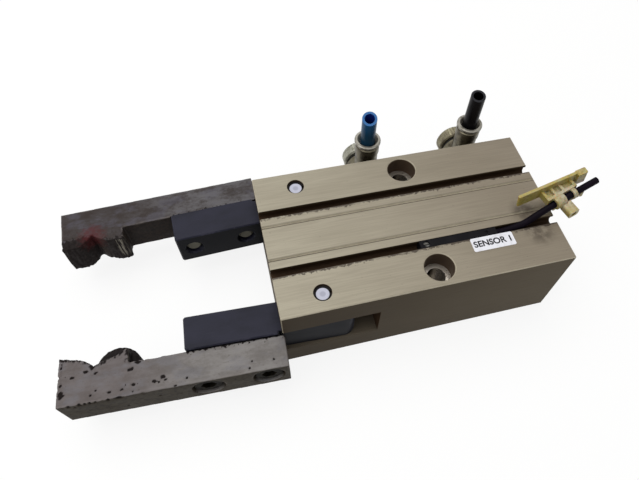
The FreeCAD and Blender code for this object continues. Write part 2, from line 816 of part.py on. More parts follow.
def port_cap(x):
    """Round end cap with a driver slot, screwed on the stem."""
    s0 = sleeve_end + swivel_gap + cap_washer_t + contact_gap
    s1 = s0 + cap_length
    r = cap_d / 2
    hole = stem_d / 2 + contact_gap
    inside = s0 + 3.2
    profile = [(s0, hole), (s0, r - 0.7), (s0 + 0.7, r), (s1 - 1.2, r), (s1, r - 1.2)]
    profile += [(s1, 5.0), (s1 - 1.0, 4.6), (s1 - 1.0, 0), (inside, 0), (inside, hole)]
    cap = turned_out(x, profile)
    for i in range(cap_flutes):
        turn = 2 * math.pi * i / cap_flutes
        start = V(x + r * math.cos(turn), -side_y - s0 - 0.7, axis_z + r * math.sin(turn))
        flute = Part.makeCylinder(flute_r, cap_length - 1.9, start, V(0, -1, 0))
        cap = cap.cut(flute)
    slot = box(x - 4, x + 4, -side_y - s1 - 1, -side_y - s1 + 2.0, axis_z - 0.6, axis_z + 0.6)
    return cap.cut(slot)


def auto_switch():
    """Magnetic switch that fills the near groove, rounded at both ends."""
    half = groove_mouth / 2 - switch_gap
    foot = groove_width / 2 - switch_gap
    low = body_height - groove_depth + switch_gap
    lip = body_height - groove_lip - switch_gap
    y = groove_offset
    top = box(switch_x0, switch_x1, y - half, y + half, low, body_height - 0.1)
    wide = box(switch_x0 + 2, switch_x1, y - foot, y + foot, low, lip)
    low_edges = []
    for edge in wide.Edges:
        bound = edge.BoundBox
        if bound.XLength > 20 and abs(bound.ZMax - low) < 1e-4:
            low_edges.append(edge)
    wide = wide.makeFillet(1.4, low_edges)
    whole = top.fuse(wide)
    whole = whole.cut(rod_z(switch_x1 - 3.2, y, low - 1, body_height, switch_screw_d / 2 + 0.02))
    lamp = rod_z(switch_x0 + 5, y, body_height - 0.6, body_height, 0.9)
    return whole.cut(lamp)


def switch_screw():
    y = groove_offset
    x = switch_x1 - 3.2
    low = body_height - groove_depth + contact_gap
    high = body_height - 0.9
    screw = rod_z(x, y, low, high, switch_screw_d / 2)
    slot = box(x - 2, x + 2, y - 0.25, y + 0.25, high - 0.9, high + 1)
    return screw.cut(slot)


def bend_radii():
    """Bend radius at each inner cable point, from its shorter run and its turn."""
    radii = []
    spots = [V(*p) for p in cable_points]
    for i in range(1, len(spots) - 1):
        a = spots[i] - spots[i - 1]
        b = spots[i + 1] - spots[i]
        half_turn = a.getAngle(b) / 2
        radii.append(cable_bend_share * min(a.Length, b.Length) / math.tan(half_turn))
    return radii


def cable_path():
    """Straight runs joined by tangent arcs."""
    spots = [V(*p) for p in cable_points]
    radii = bend_radii()
    edges = []
    start = spots[0]
    for i in range(1, len(spots) - 1):
        a = spots[i] - spots[i - 1]
        b = spots[i + 1] - spots[i]
        a.normalize()
        b.normalize()
        half_turn = a.getAngle(b) / 2
        setback = radii[i - 1] * math.tan(half_turn)
        enter = spots[i] - a * setback
        leave = spots[i] + b * setback
        inward = b - a
        inward.normalize()
        centre = spots[i] + inward * (radii[i - 1] / math.cos(half_turn))
        outward = spots[i] - centre
        outward.normalize()
        middle = centre + outward * radii[i - 1]
        edges.append(Part.LineSegment(start, enter).toShape())
        edges.append(Part.Arc(enter, middle, leave).toShape())
        start = leave
    edges.append(Part.LineSegment(start, spots[-1]).toShape())
    return Part.Wire(edges)


def switch_cable():
    path = cable_path()
    start = V(*cable_points[0]) - V(contact_gap, 0, 0)
    profile = Part.Wire(Part.makeCircle(cable_d / 2, V(*cable_points[0]), V(-1, 0, 0)))
    solid = path.makePipeShell([profile], True, True)
    section = math.pi * cable_d * cable_d / 4
    print("cable bend radii", [round(r, 2) for r in bend_radii()])
    ratio = solid.Volume / (section * path.Length)
    print("cable length", round(path.Length, 2), "volume ratio", round(ratio, 4))
    solid.translate(start - V(*cable_points[0]))
    return solid


def marker_tie():
    """Moulded nylon marker: flag, saddle beside the cable, strap, head and tail."""
    bend = V(*cable_points[2])
    end = V(*cable_points[3])
    along = end - bend
    along.normalize()
    toward = along.cross(V(0, 0, 1)) * -1
    toward.normalize()
    up = toward.cross(along) * -1
    if up.z < 0:
        up = up * -1
    anchor = bend + along * 9.5
    hold = cable_d / 2 + 0.12
    flag = Part.makeBox(flag_length, flag_thickness, flag_height, V(flag_start, flag_offset, -2.4))
    block = Part.makeBox(5.0, 3.2, flag_height, V(flag_start + flag_length - 5.0, flag_offset - 1.4, -2.4))
    flag = flag.fuse(block).removeSplitter()
    ends = (flag_start, flag_start + flag_length)
    upright = [e for e in flag.Edges if e.BoundBox.ZLength > 1]
    corners = [e for e in upright if min(abs(e.BoundBox.Center.x - x) for x in ends) < 0.01]
    flag = flag.makeFillet(0.55, corners)
    flag.rotate(V(flag_start, flag_offset, 0), V(0, 0, 1), -flag_lean)
    saddle = Part.makeBox(16.0, 4.2, 1.3, V(-7.0, 2.6, -0.65))
    ribs = []
    for x in (-7.0, -2.6, 1.8, 7.7):
        reach = flag_offset - (x - flag_start) * math.tan(math.radians(flag_lean)) + 0.6
        rib = Part.makeBox(1.3, reach - 1.8, 4.6, V(x, 1.8, -2.3))
        ribs.append(rib)
    shoe = Part.makeBox(16.0, 1.4, 4.6, V(-7.0, hold, -2.3))
    strap = Part.makeCylinder(hold + 1.3, 5.0, V(-4.5, 0, 0), V(1, 0, 0))
    band = Part.makeCylinder(hold + 0.8, 2.0, V(5.0, 0, 0), V(1, 0, 0))
    head = Part.makeBox(5.4, 6.0, 4.8, V(-2.4, -8.4, -4.2))
    head = head.makeFillet(1.3, [e for e in head.Edges if e.BoundBox.YLength > 5])
    tail = Part.makeBox(17.0, 3.0, 1.0, V(-6.0, -1.5, -hold - 1.2))
    lug = Part.makeCylinder(1.5, 3.0, V(10.6, -0.2, -hold - 2.4), V(0, 0, 1))
    whole = flag.fuse([saddle, shoe, strap, band, head, tail, lug] + ribs)
    reach = 2 * flag_length
    whole = whole.cut(Part.makeCylinder(hold, reach, V(-flag_length, 0, 0), V(1, 0, 0)))
    window = Part.makeBox(2.6, 6.0, 2.0, V(-1.0, -12.0, -2.8))
    whole = whole.cut(window).removeSplitter()
    grid = FreeCAD.Matrix()
    grid.A11, grid.A21, grid.A31 = along.x, along.y, along.z
    grid.A12, grid.A22, grid.A32 = toward.x, toward.y, toward.z
    grid.A13, grid.A23, grid.A33 = up.x, up.y, up.z
    grid.A14, grid.A24, grid.A34 = anchor.x, anchor.y, anchor.z
    return whole.transformShape(grid)


def position_label():
    y0 = groove_offset + groove_mouth / 2 + label_gap
    z0 = body_height
    label = box(label_x, label_x + label_length, y0, y0 + label_width, z0, z0 + label_t)
    corners = []
    for x in (label_x, label_x + label_length):
        corners += [(x, y0), (x, y0 + label_width)]
    return label.makeFillet(0.8, upright(label, z0, z0 + label_t, corners))


def main():
    os.makedirs("parts", exist_ok=True)
    pieces = {
        "body": body(),
        "rod_bush": rod_bush(),
        "rod_seal": rod_seal(),
        "rear_cover": rear_cover(),
        "cover_seal": cover_seal(),
        "cover_clip": cover_clip(),
        "front_bumper": front_bumper(),
        "rear_bumper": rear_bumper(),
        "piston": piston(),
        "piston_seal": piston_seal(),
        "piston_magnet": piston_magnet(),
        "guide_ring": guide_ring(),
        "piston_nut": piston_nut(),
        "piston_rod": piston_rod(),
        "pin_clips": pin_clips(),
        "auto_switch": auto_switch(),
        "switch_screw": switch_screw(),
        "switch_cable": switch_cable(),
        "marker_tie": marker_tie(),
        "position_label": position_label(),
    }
    for side, name in ((1, "near"), (-1, "far")):
        pieces[name + "_lever"] = lever(side)
        pieces[name + "_bush"] = jaw_bush(side)
        pieces[name + "_pin"] = pivot_pin(side)
        pieces[name + "_finger"] = finger(side)
        pieces[name + "_finger_screws"] = finger_screws(side)
    ports = [("front", port_front_x, tube_front_top_z, tube_front_cut)]
    ports.append(("rear", port_rear_x, tube_rear_top_z, tube_rear_cut))
    for name, x, top, cut_angle in ports:
        pieces[name + "_port_washer"] = port_washer(x)
        pieces[name + "_port_stem"] = port_stem(x)
        pieces[name + "_elbow"] = elbow(x)
        pieces[name + "_collar"] = release_collar(x)
        pieces[name + "_tube"] = port_tube(x, top, cut_angle)
        pieces[name + "_cap_washer"] = cap_washer(x)
        pieces[name + "_port_cap"] = port_cap(x)
    print("piston stroke", round(stroke, 3), "over", travel, "degrees")
    for name, shape in pieces.items():
        shape.exportStep("parts/" + name + ".step")
        volume = round(shape.Volume, 1)
        print(name, "solids", len(shape.Solids), "valid", shape.isValid(), "volume", volume)


main()
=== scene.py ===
import logging
import math
from abc import ABC, abstractmethod
from dataclasses import dataclass, field
from enum import Enum
from functools import cached_property, lru_cache, partial, reduce
from typing import Mapping, Sequence, Union

import bmesh
import bpy
import numpy as np
from mathutils import Euler, Matrix, Vector, noise


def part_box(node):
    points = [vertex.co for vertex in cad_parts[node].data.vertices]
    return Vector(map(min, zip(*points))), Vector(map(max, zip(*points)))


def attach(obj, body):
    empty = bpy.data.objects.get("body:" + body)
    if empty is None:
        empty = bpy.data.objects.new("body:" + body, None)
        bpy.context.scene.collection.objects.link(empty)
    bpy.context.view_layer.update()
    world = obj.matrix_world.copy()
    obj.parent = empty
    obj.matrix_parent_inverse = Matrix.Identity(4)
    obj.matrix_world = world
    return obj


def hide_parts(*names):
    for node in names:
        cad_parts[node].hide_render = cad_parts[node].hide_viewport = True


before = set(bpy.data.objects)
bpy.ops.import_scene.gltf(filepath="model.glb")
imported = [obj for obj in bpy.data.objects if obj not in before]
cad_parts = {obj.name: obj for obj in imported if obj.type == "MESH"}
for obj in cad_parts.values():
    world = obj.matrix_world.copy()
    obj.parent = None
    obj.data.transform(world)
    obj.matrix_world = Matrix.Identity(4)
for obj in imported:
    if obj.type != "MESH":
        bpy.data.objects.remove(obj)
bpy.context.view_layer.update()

MM = 0.001
LOG = logging.getLogger("gripper")

Colour = tuple[float, float, float, float]
Triple = tuple[float, float, float]
Socket = bpy.types.NodeSocket
Value = Union[Socket, float, Sequence[float]]
Key = Union[str, int]


def shade(red: int, green: int, blue: int) -> Colour:
    """Turn a display colour into the linear colour that a shader takes.

    Args:
        red: Level from 0 to 255.
        green: Level from 0 to 255.
        blue: Level from 0 to 255.

    Returns:
        The linear colour with full alpha.
    """
    parts = [level / 255 for level in (red, green, blue)]
    levels = [part / 12.92 if part <= 0.04045 else ((part + 0.055) / 1.055) ** 2.4 for part in parts]
    return (levels[0], levels[1], levels[2], 1.0)


def share(value: float) -> float:
    """Keep a value between 0 and 1."""
    return min(1.0, max(0.0, value))


class Side(Enum):
    """The two jaws, by how close they lie to the viewer."""

    NEAR = "near"
    FAR = "far"


class Port(Enum):
    """The two air ports, by their place along the body."""

    FRONT = "front"
    REAR = "rear"


class Grain(Enum):
    """How the tool marks of a metal finish run."""

    LENGTHWISE = (0.03, 1.0, 1.0)
    RANDOM = (1.0, 1.0, 1.0)


@dataclass(frozen=True)
class Placement:
    """Where a pattern's own millimetre axes lie on a piece.

    A point is mirrored, then turned about Z, then moved.
    """

    move: Triple = (0.0, 0.0, 0.0)
    turn: float = 0.0
    mirrored: bool = False

    def flip(self) -> float:
        """Sign that Y takes."""
        return -1.0 if self.mirrored else 1.0

    def local(self, point: Vector) -> Vector:
        """Bring a point of the object into the pattern's axes.

        Args:
            point: Place on the object, in metres.

        Returns:
            The same place in the pattern's axes, in millimetres.
        """
        seen = Vector((point.x / MM, self.flip() * point.y / MM, point.z / MM))
        seen.rotate(Euler((0.0, 0.0, self.turn)))
        return seen + Vector(self.move)


class NodeGraph:
    """A node tree, with short calls for the nodes that repeat."""

    def __init__(self, tree: bpy.types.NodeTree) -> None:
        """Work on a tree."""
        self.tree = tree

    def add(self, kind: str, **settings: object) -> bpy.types.Node:
        """Add a node.

        Args:
            kind: The node's type.
            settings: Properties to set on it.

        Returns:
            The new node.
        """
        node = self.tree.nodes.new(kind)
        for name, value in settings.items():
            setattr(node, name, value)
        return node

    def link(self, target: Socket, value: Value) -> None:
        """Feed an input from a socket, or set it to a plain value.

        Args:
            target: The input.
            value: The output that feeds it, or a number or colour.
        """
        if isinstance(value, bpy.types.NodeSocket):
            self.tree.links.new(value, target)
        else:
            target.default_value = value

    def wired(self, kind: str, output: Key, inputs: Mapping[Key, Value], **settings: object) -> Socket:
        """Add a node, feed its inputs and take one of its outputs.

        Args:
            kind: The node's type.
            output: Name or number of the output.
            inputs: What feeds the inputs, by their names or numbers.
            settings: Properties to set on the node.

        Returns:
            The output.
        """
        node = self.add(kind, **settings)
        for key, value in inputs.items():
            self.link(node.inputs[key], value)
        return node.outputs[output]

    def calc(self, operation: str, first: Value, second: Value = 0.0) -> Socket:
        """Work out a value from one or two others by a Math node's operation."""
        return self.wired("ShaderNodeMath", 0, {0: first, 1: second}, operation=operation)

    def times(self, *values: Value) -> Value:
        """Multiply values together."""
        return reduce(partial(self.calc, "MULTIPLY"), values)

    def most(self, *values: Value) -> Value:
        """Take the largest of some values."""
        return reduce(partial(self.calc, "MAXIMUM"), values)

    def left(self, value: Value) -> Socket:
        """Give what a value leaves of 1."""
        return self.calc("SUBTRACT", 1.0, value)

    def off(self, value: Value, middle: float) -> Socket:
        """Measure how far a value lies from a middle one."""
        return self.calc("ABSOLUTE", self.calc("SUBTRACT", value, middle))

    def span(self, value: Value, low: float, high: float) -> Socket:
        """Rise smoothly from 0 to 1 while a value goes from low to high."""
        inputs = {"Value": value, "From Min": low, "From Max": high}
        return self.wired("ShaderNodeMapRange", "Result", inputs, interpolation_type="SMOOTHSTEP")

    def between(self, value: Value, low: float, high: float) -> Socket:
        """Go evenly from one number to another while a value goes from 0 to 1."""
        return self.wired("ShaderNodeMapRange", "Result", {"Value": value, "To Min": low, "To Max": high})

    def blend(self, where: Value, first: Value, second: Value, amount: float = 1.0) -> Socket:
        """Blend two colours or values, with an amount of the second one where it lies."""
        factor = where if amount == 1.0 else self.times(where, amount)
        return self.wired("ShaderNodeMix", 2, {0: factor, 6: first, 7: second}, data_type="RGBA")

    def axes(self, vector: Socket) -> tuple[Socket, Socket, Socket]:
        """Split a vector into its X, Y and Z."""
        return tuple(self.wired("ShaderNodeSeparateXYZ", 0, {0: vector}).node.outputs)

    def white_rays(self) -> Value:
        """Give 1 for rays that should meet white: from the camera, glossy or through clear things."""
        path = self.add("ShaderNodeLightPath")
        return self.most(*(path.outputs[f"Is {kind} Ray"] for kind in ("Camera", "Glossy", "Transmission")))


class ShaderGraph(NodeGraph):
    """A material's nodes, with patterns in millimetres and a colour that grows layer by layer."""

    def __init__(self, name: str, placement: Placement) -> None:
        """Start a material.

        Args:
            name: The material's name.
            placement: The axes that its patterns follow.
        """
        self.material = bpy.data.materials.new(name)
        self.material.use_nodes = True
        super().__init__(self.material.node_tree)
        self.tree.nodes.clear()
        self.output = self.add("ShaderNodeOutputMaterial")
        self.shader = self.add("ShaderNodeBsdfPrincipled")
        self.link(self.output.inputs["Surface"], self.shader.outputs["BSDF"])
        self.source = self.add("ShaderNodeTexCoord")
        self.place = self.wired("ShaderNodeMapping", "Vector", {
            "Vector": self.source.outputs["Object"],
            "Location": placement.move,
            "Rotation": (0.0, 0.0, placement.turn),
            "Scale": (1 / MM, placement.flip() / MM, 1 / MM),
        })
        self.colour: Value = 0.0

    @cached_property
    def spot(self) -> tuple[Socket, Socket, Socket]:
        """X, Y and Z of the place in the pattern's axes."""
        return self.axes(self.place)

    @cached_property
    def normal(self) -> tuple[Socket, Socket, Socket]:
        """X, Y and Z of the direction that the surface faces."""
        return self.axes(self.source.outputs["Normal"])

    def noise(
        self, size: float, grain: Triple = Grain.RANDOM.value, detail: float = 3.0, rough: float = 0.55,
    ) -> Socket:
        """Add soft noise.

        Args:
            size: Size of its patches in millimetres.
            grain: Scale along each axis, below 1 where it is drawn out.
            detail: Number of finer layers.
            rough: Strength of the finer layers.

        Returns:
            The noise's value, around a half.
        """
        place = self.place
        if grain != Grain.RANDOM.value:
            place = self.wired("ShaderNodeMapping", "Vector", {"Vector": place, "Scale": grain})
        inputs = {"Vector": place, "Scale": 1 / size, "Detail": detail, "Roughness": rough}
        return self.wired("ShaderNodeTexNoise", "Fac", inputs)

    def edges(self) -> Socket:
        """Give 1 on chamfers and rounds and 0 on faces square to an axis."""
        parts = [self.calc("ABSOLUTE", part) for part in self.normal]
        return self.left(self.span(self.most(*parts), 0.86, 0.97))

    def radius(self, centre: tuple[float, float]) -> Socket:
        """Measure the distance from an upright line, with both sides of Y folded together.

        Args:
            centre: X and Y of the line in millimetres.

        Returns:
            The distance in millimetres.
        """
        along = self.calc("SUBTRACT", self.spot[0], centre[0])
        across = self.calc("SUBTRACT", self.calc("ABSOLUTE", self.spot[1]), centre[1])
        return self.calc("SQRT", self.calc("ADD", self.times(along, along), self.times(across, across)))

    def away(self, place: Triple) -> Socket:
        """Measure the distance from a place, in millimetres."""
        return self.wired("ShaderNodeVectorMath", "Value", {0: self.place, 1: place}, operation="DISTANCE")

    def stored(self, name: str) -> Socket:
        """Read a value that is stored on the mesh."""
        return self.wired("ShaderNodeAttribute", "Fac", {}, attribute_name=name)

    def lay(self, tint: Value, where: Value, amount: float = 1.0) -> None:
        """Lay a tint over the colour, with a share of it where it lies."""
        self.colour = self.blend(where, self.colour, tint, amount)

    def set(self, **inputs: Value) -> None:
        """Set inputs of the main shader, named with underscores for spaces."""
        for name, value in inputs.items():
            self.link(self.shader.inputs[name.replace("_", " ")], value)

    def surface(self, rough: Value, shine: Value = 0.5, metal: Value = 0.0) -> None:
        """Give the main shader its colour, roughness, level of shine and share of metal."""
        self.set(Base_Color=self.colour, Roughness=rough, Specular_IOR_Level=shine, Metallic=metal)

    def relief(self, height: Value, depth: float, strength: float = 1.0) -> None:
        """Give the surface a fine relief, with its depth in millimetres."""
        inputs = {"Height": height, "Distance": depth * MM, "Strength": strength}
        self.set(Normal=self.wired("ShaderNodeBump", "Normal", inputs))


class Finish(ABC):
    """The surface of a piece: each kind paints its own colours, gloss and relief."""

    name: str

    def axes(self) -> Placement:
        """Give the axes that the patterns follow."""
        return Placement()

    @cached_property
    def graph(self) -> ShaderGraph:
        """The nodes of the finish's own material."""
        return ShaderGraph(self.name, self.axes())

    @abstractmethod
    def paint(self) -> None:
        """Lay the colours, gloss and relief in the material's graph."""

    def material(self) -> bpy.types.Material:
        """Paint the material and return it."""
        self.paint()
        return self.graph.material


@lru_cache(maxsize=None)
def made(finish: Finish) -> bpy.types.Material:
    """Make a finish's material once and keep it for every piece that shares it."""
    return finish.material()


def dress(piece: bpy.types.Object, finish: Finish) -> bpy.types.Object:
    """Give a piece a finish on all its faces.

    Args:
        piece: The piece.
        finish: Its finish.

    Returns:
        The same piece.
    """
    material = made(finish)
    if not piece.material_slots:
        piece.data.materials.append(material)
    for place in piece.material_slots:
        place.material = material
    LOG.info("%s: %s", piece.name, material.name)
    return piece


def dress_nodes(finishes: Mapping[str, Finish], prefix: str = "") -> None:
    """Give CAD nodes their finishes, by their names behind a common prefix."""
    for name, finish in finishes.items():
        dress(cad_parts[prefix + name], finish)


def put(name: str, data: bpy.types.ID) -> bpy.types.Object:
    """Add an object to the scene.

    Args:
        name: The object's name.
        data: Its mesh, curve, lamp or camera.

    Returns:
        The new object.
    """
    thing = bpy.data.objects.new(name, data)
    bpy.context.scene.collection.objects.link(thing)
    return thing


def fresh_piece(name: str, data: bpy.types.ID, body: str) -> bpy.types.Object:
    """Add a new piece that rides on a body.

    Args:
        name: The piece's name.
        data: Its mesh or curve, already in place.
        body: The body that it rides on.

    Returns:
        The new piece.
    """
    piece = put(name, data)
    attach(piece, body)
    return piece


def mesh_of(shape: bmesh.types.BMesh, name: str, smooth: bool = True) -> bpy.types.Mesh:
    """Turn a finished shape into a mesh and free the shape.

    Args:
        shape: The shape, in metres.
        name: The mesh's name.
        smooth: Whether its faces are shaded smooth.

    Returns:
        The new mesh.
    """
    bmesh.ops.recalc_face_normals(shape, faces=shape.faces)
    for face in shape.faces:
        face.smooth = smooth
    mesh = bpy.data.meshes.new(name)
    shape.to_mesh(mesh)
    shape.free()
    return mesh


@dataclass(frozen=True)
class AnodisedFinish(Finish):
    """Brushed bronze-grey anodising of the body, with dirt along its grooves, counterbored holes, painted
    light on the top and painted shade on the flanks and hollows.
    """

    name: str = "anodised_bronze"
    # Painted light: the top is laid lighter at the front than at the rear.
    front: Colour = shade(154, 147, 129)
    rear: Colour = shade(134, 124, 108)
    brushed: Colour = shade(70, 60, 46)
    # Painted shade: the flanks take darker tones than the top.
    shaded_flank_front: Colour = shade(64, 54, 40)
    shaded_flank_rear: Colour = shade(98, 88, 71)
    # Pale edge colour: worn anodising with a painted highlight.
    edge: Colour = shade(190, 181, 160)
    # Dark colour for dirt and for painted shade.
    grime_and_shade: Colour = shade(46, 34, 26)
    # Painted shadow along the fine lines' edges.
    line_shadow: Colour = shade(54, 45, 30)
    # Painted shade for the hollows.
    hollow: Colour = shade(66, 51, 38)
    # Counterbore: a wall laid dark as painted shade, and a seat of bright machined metal with a painted
    # glint.
    wall: Colour = shade(78, 64, 52)
    machined_and_glint: Colour = shade(212, 203, 190)
    top: float = 47.0
    groove: float = 16.0
    groove_half: float = 2.15
    groove_depth: float = 6.0
    groove_reach: float = 3.4
    rear_end: float = -70.0
    front_end: float = 75.0
    ring_rate: float = 12.0
    line: float = 9.0
    line_half: float = 0.6
    hole: tuple[float, float] = (0.0, 29.0)
    hole_radius: float = 7.1
    pin: tuple[float, float] = (54.0, 29.7)
    pin_radius: float = 4.7
    slot_middle: float = 23.5
    slot_half: float = 9.7
    slot_start: float = 28.9
    # Soft spots by the marker and the cable: partly dirt, partly their painted shadow.
    dirt_and_shadow_radius: float = 9.5
    smudges: tuple[Triple, ...] = ((-51.5, 8.0, 47.0), (-53.0, 21.5, 47.0))

    def paint(self) -> None:
        """Lay the brushed colour with painted light on top and painted shade on flanks, then edges, dirt,
        holes and hollows.
        """
        graph = self.graph
        x, _, z = graph.spot
        ahead, _, up = graph.normal
        streaks = graph.noise(0.55, Grain.LENGTHWISE.value, 4.0, 0.6)
        broad = graph.noise(22.0, (0.35, 1.0, 1.0), 2.0)
        # Painted light and shade: the top grows lighter towards the front, and the flanks take the darker
        # shaded tones.
        lift = graph.span(up, 0.45, 0.9)
        along = graph.span(x, self.rear_end, self.front_end)
        shaded_flank = graph.blend(along, self.shaded_flank_rear, self.shaded_flank_front)
        graph.colour = graph.blend(lift, shaded_flank, graph.blend(along, self.rear, self.front))
        graph.lay(self.brushed, graph.span(streaks, 0.35, 0.65), 0.14)
        # Broad patches at random in the rear flank's tone.
        graph.lay(self.shaded_flank_rear, graph.span(broad, 0.42, 0.7), 0.16)
        # Lighter edges: partly worn anodising, partly a painted highlight along the chamfers.
        worn = graph.times(graph.edges(), graph.between(graph.noise(3.0), 0.35, 1.0))
        graph.lay(self.edge, worn)
        # Painted shadow along the edges of the fine lines.
        graph.lay(self.line_shadow, self.lines())
        # Dirt by the grooves and in specks, with the painted shadow of the marker and cable.
        graph.lay(self.grime_and_shade, graph.times(self.dirt(), lift))
        centre = graph.radius(self.hole)
        inside = graph.times(
            graph.span(centre, self.hole_radius + 0.05, self.hole_radius - 0.05),
            graph.span(z, self.top - 0.05, self.top - 0.35),
        )
        bare = graph.times(inside, graph.span(centre, self.hole_radius - 0.2, self.hole_radius - 0.4))
        rings = graph.calc("SINE", graph.times(centre, self.ring_rate))
        # Bright machined seat, brightened further as a painted glint.
        seat = graph.blend(graph.between(rings, 0.0, 0.35), self.machined_and_glint, self.wall)
        # Painted shade: the bore walls that face backwards are darkened.
        shaded_bore_side = graph.times(graph.span(ahead, 0.25, -0.35), graph.span(up, 0.5, 0.2))
        seat = graph.blend(shaded_bore_side, seat, self.grime_and_shade)
        # Painted shade: the counterbore's wall is laid dark.
        graph.lay(self.wall, inside)
        graph.lay(seat, bare)
        # Painted shade in the hollows: laid dark, with no metal or shine; the flanks also get less shine and
        # metal.
        dark = self.hollows()
        unshaded = graph.left(dark)
        metal = graph.times(graph.most(graph.times(lift, 0.22), graph.times(bare, 0.85)), unshaded)
        shine = graph.times(graph.between(lift, 0.05, 0.3), graph.between(unshaded, 0.1, 1.0))
        rough = graph.calc("SUBTRACT", graph.between(streaks, 0.42, 0.6), graph.times(bare, 0.22))
        graph.lay(self.hollow, dark)
        graph.surface(rough, shine, metal)
        graph.relief(graph.blend(inside, streaks, rings), 0.02, 0.35)

    def lines(self) -> Value:
        """Find the painted shadow along the edges of the two fine lines beside the switch grooves.

        Returns:
            How dark the edge is, from 0 to 1.
        """
        graph = self.graph
        _, y, z = graph.spot
        total: Value = 0.0
        for middle in (self.line, -self.line):
            for side, weight in ((self.line_half, 1.0), (-self.line_half, 0.35)):
                edge = graph.span(graph.off(y, middle + side), 0.5, 0.2)
                total = graph.most(total, graph.times(edge, weight))
        raised = graph.span(z, self.top - 0.8, self.top - 0.7)
        patchy = graph.between(graph.noise(6.0, Grain.LENGTHWISE.value), 0.55, 1.0)
        return graph.times(total, raised, patchy)

    def dirt(self) -> Value:
        """Find the dirt along the groove mouths and in specks, and the dirt and painted shadow by the marker
        and cable.

        Returns:
            How thick the dirt and painted shadow are, from 0 to 1.
        """
        graph = self.graph
        ragged = graph.between(graph.noise(1.3, (0.7, 1.0, 1.0), 5.0, 0.7), -1.5, 3.1)
        patches = graph.span(graph.noise(15.0, (1.0, 0.3, 1.0), 2.0), 0.32, 0.5)
        total = graph.times(graph.span(graph.noise(0.9, detail=2.0), 0.70, 0.76), 0.3)
        for mouth in (self.groove + self.groove_half, self.groove_half - self.groove):
            reach = graph.calc("SUBTRACT", ragged, graph.times(graph.off(graph.spot[1], mouth), 0.75))
            total = graph.most(total, graph.times(graph.span(reach, 0.0, 0.35), patches, 0.85))
        # Dirt and painted shadow of the marker and cable, in soft clouds.
        for place in self.smudges:
            spot = graph.span(graph.away(place), self.dirt_and_shadow_radius, self.dirt_and_shadow_radius * 0.2)
            cloud = graph.span(graph.noise(4.0, detail=4.0), 0.33, 0.6)
            total = graph.most(total, graph.times(spot, cloud, 0.6))
        return total

    def hollows(self) -> Value:
        """Find the insides of the switch grooves, the pin holes and the jaw slot's back and roof, laid dark
        as painted shade, with grease in the pin holes.

        Returns:
            1 inside a hollow and 0 elsewhere.
        """
        graph = self.graph
        x, y, z = graph.spot
        ahead, _, up = graph.normal
        floor = self.top - self.groove_depth
        beside = graph.off(graph.calc("ABSOLUTE", y), self.groove)
        groove = graph.times(
            graph.span(beside, self.groove_reach, self.groove_reach - 0.15),
            graph.span(z, self.top - 0.1, self.top - 1.2),
            graph.span(z, floor - 0.2, floor + 0.1),
            graph.span(graph.calc("ABSOLUTE", ahead), 0.9, 0.5),
        )
        pin = graph.times(
            graph.span(graph.radius(self.pin), self.pin_radius + 0.1, self.pin_radius),
            graph.span(z, self.top - 0.05, self.top - 0.3),
        )
        slot = graph.times(
            graph.span(graph.off(z, self.slot_middle), self.slot_half, self.slot_half - 0.1),
            graph.span(x, self.slot_start - 0.1, self.slot_start),
            graph.between(graph.span(up, 0.5, 0.9), 1.0, 0.6),
        )
        return graph.most(groove, pin, slot)


@dataclass(frozen=True)
class JawFinish(Finish):
    """A finish whose patterns follow a jaw."""

    name: str
    placement: Placement

    def axes(self) -> Placement:
        """Give the axes of the jaw."""
        return self.placement


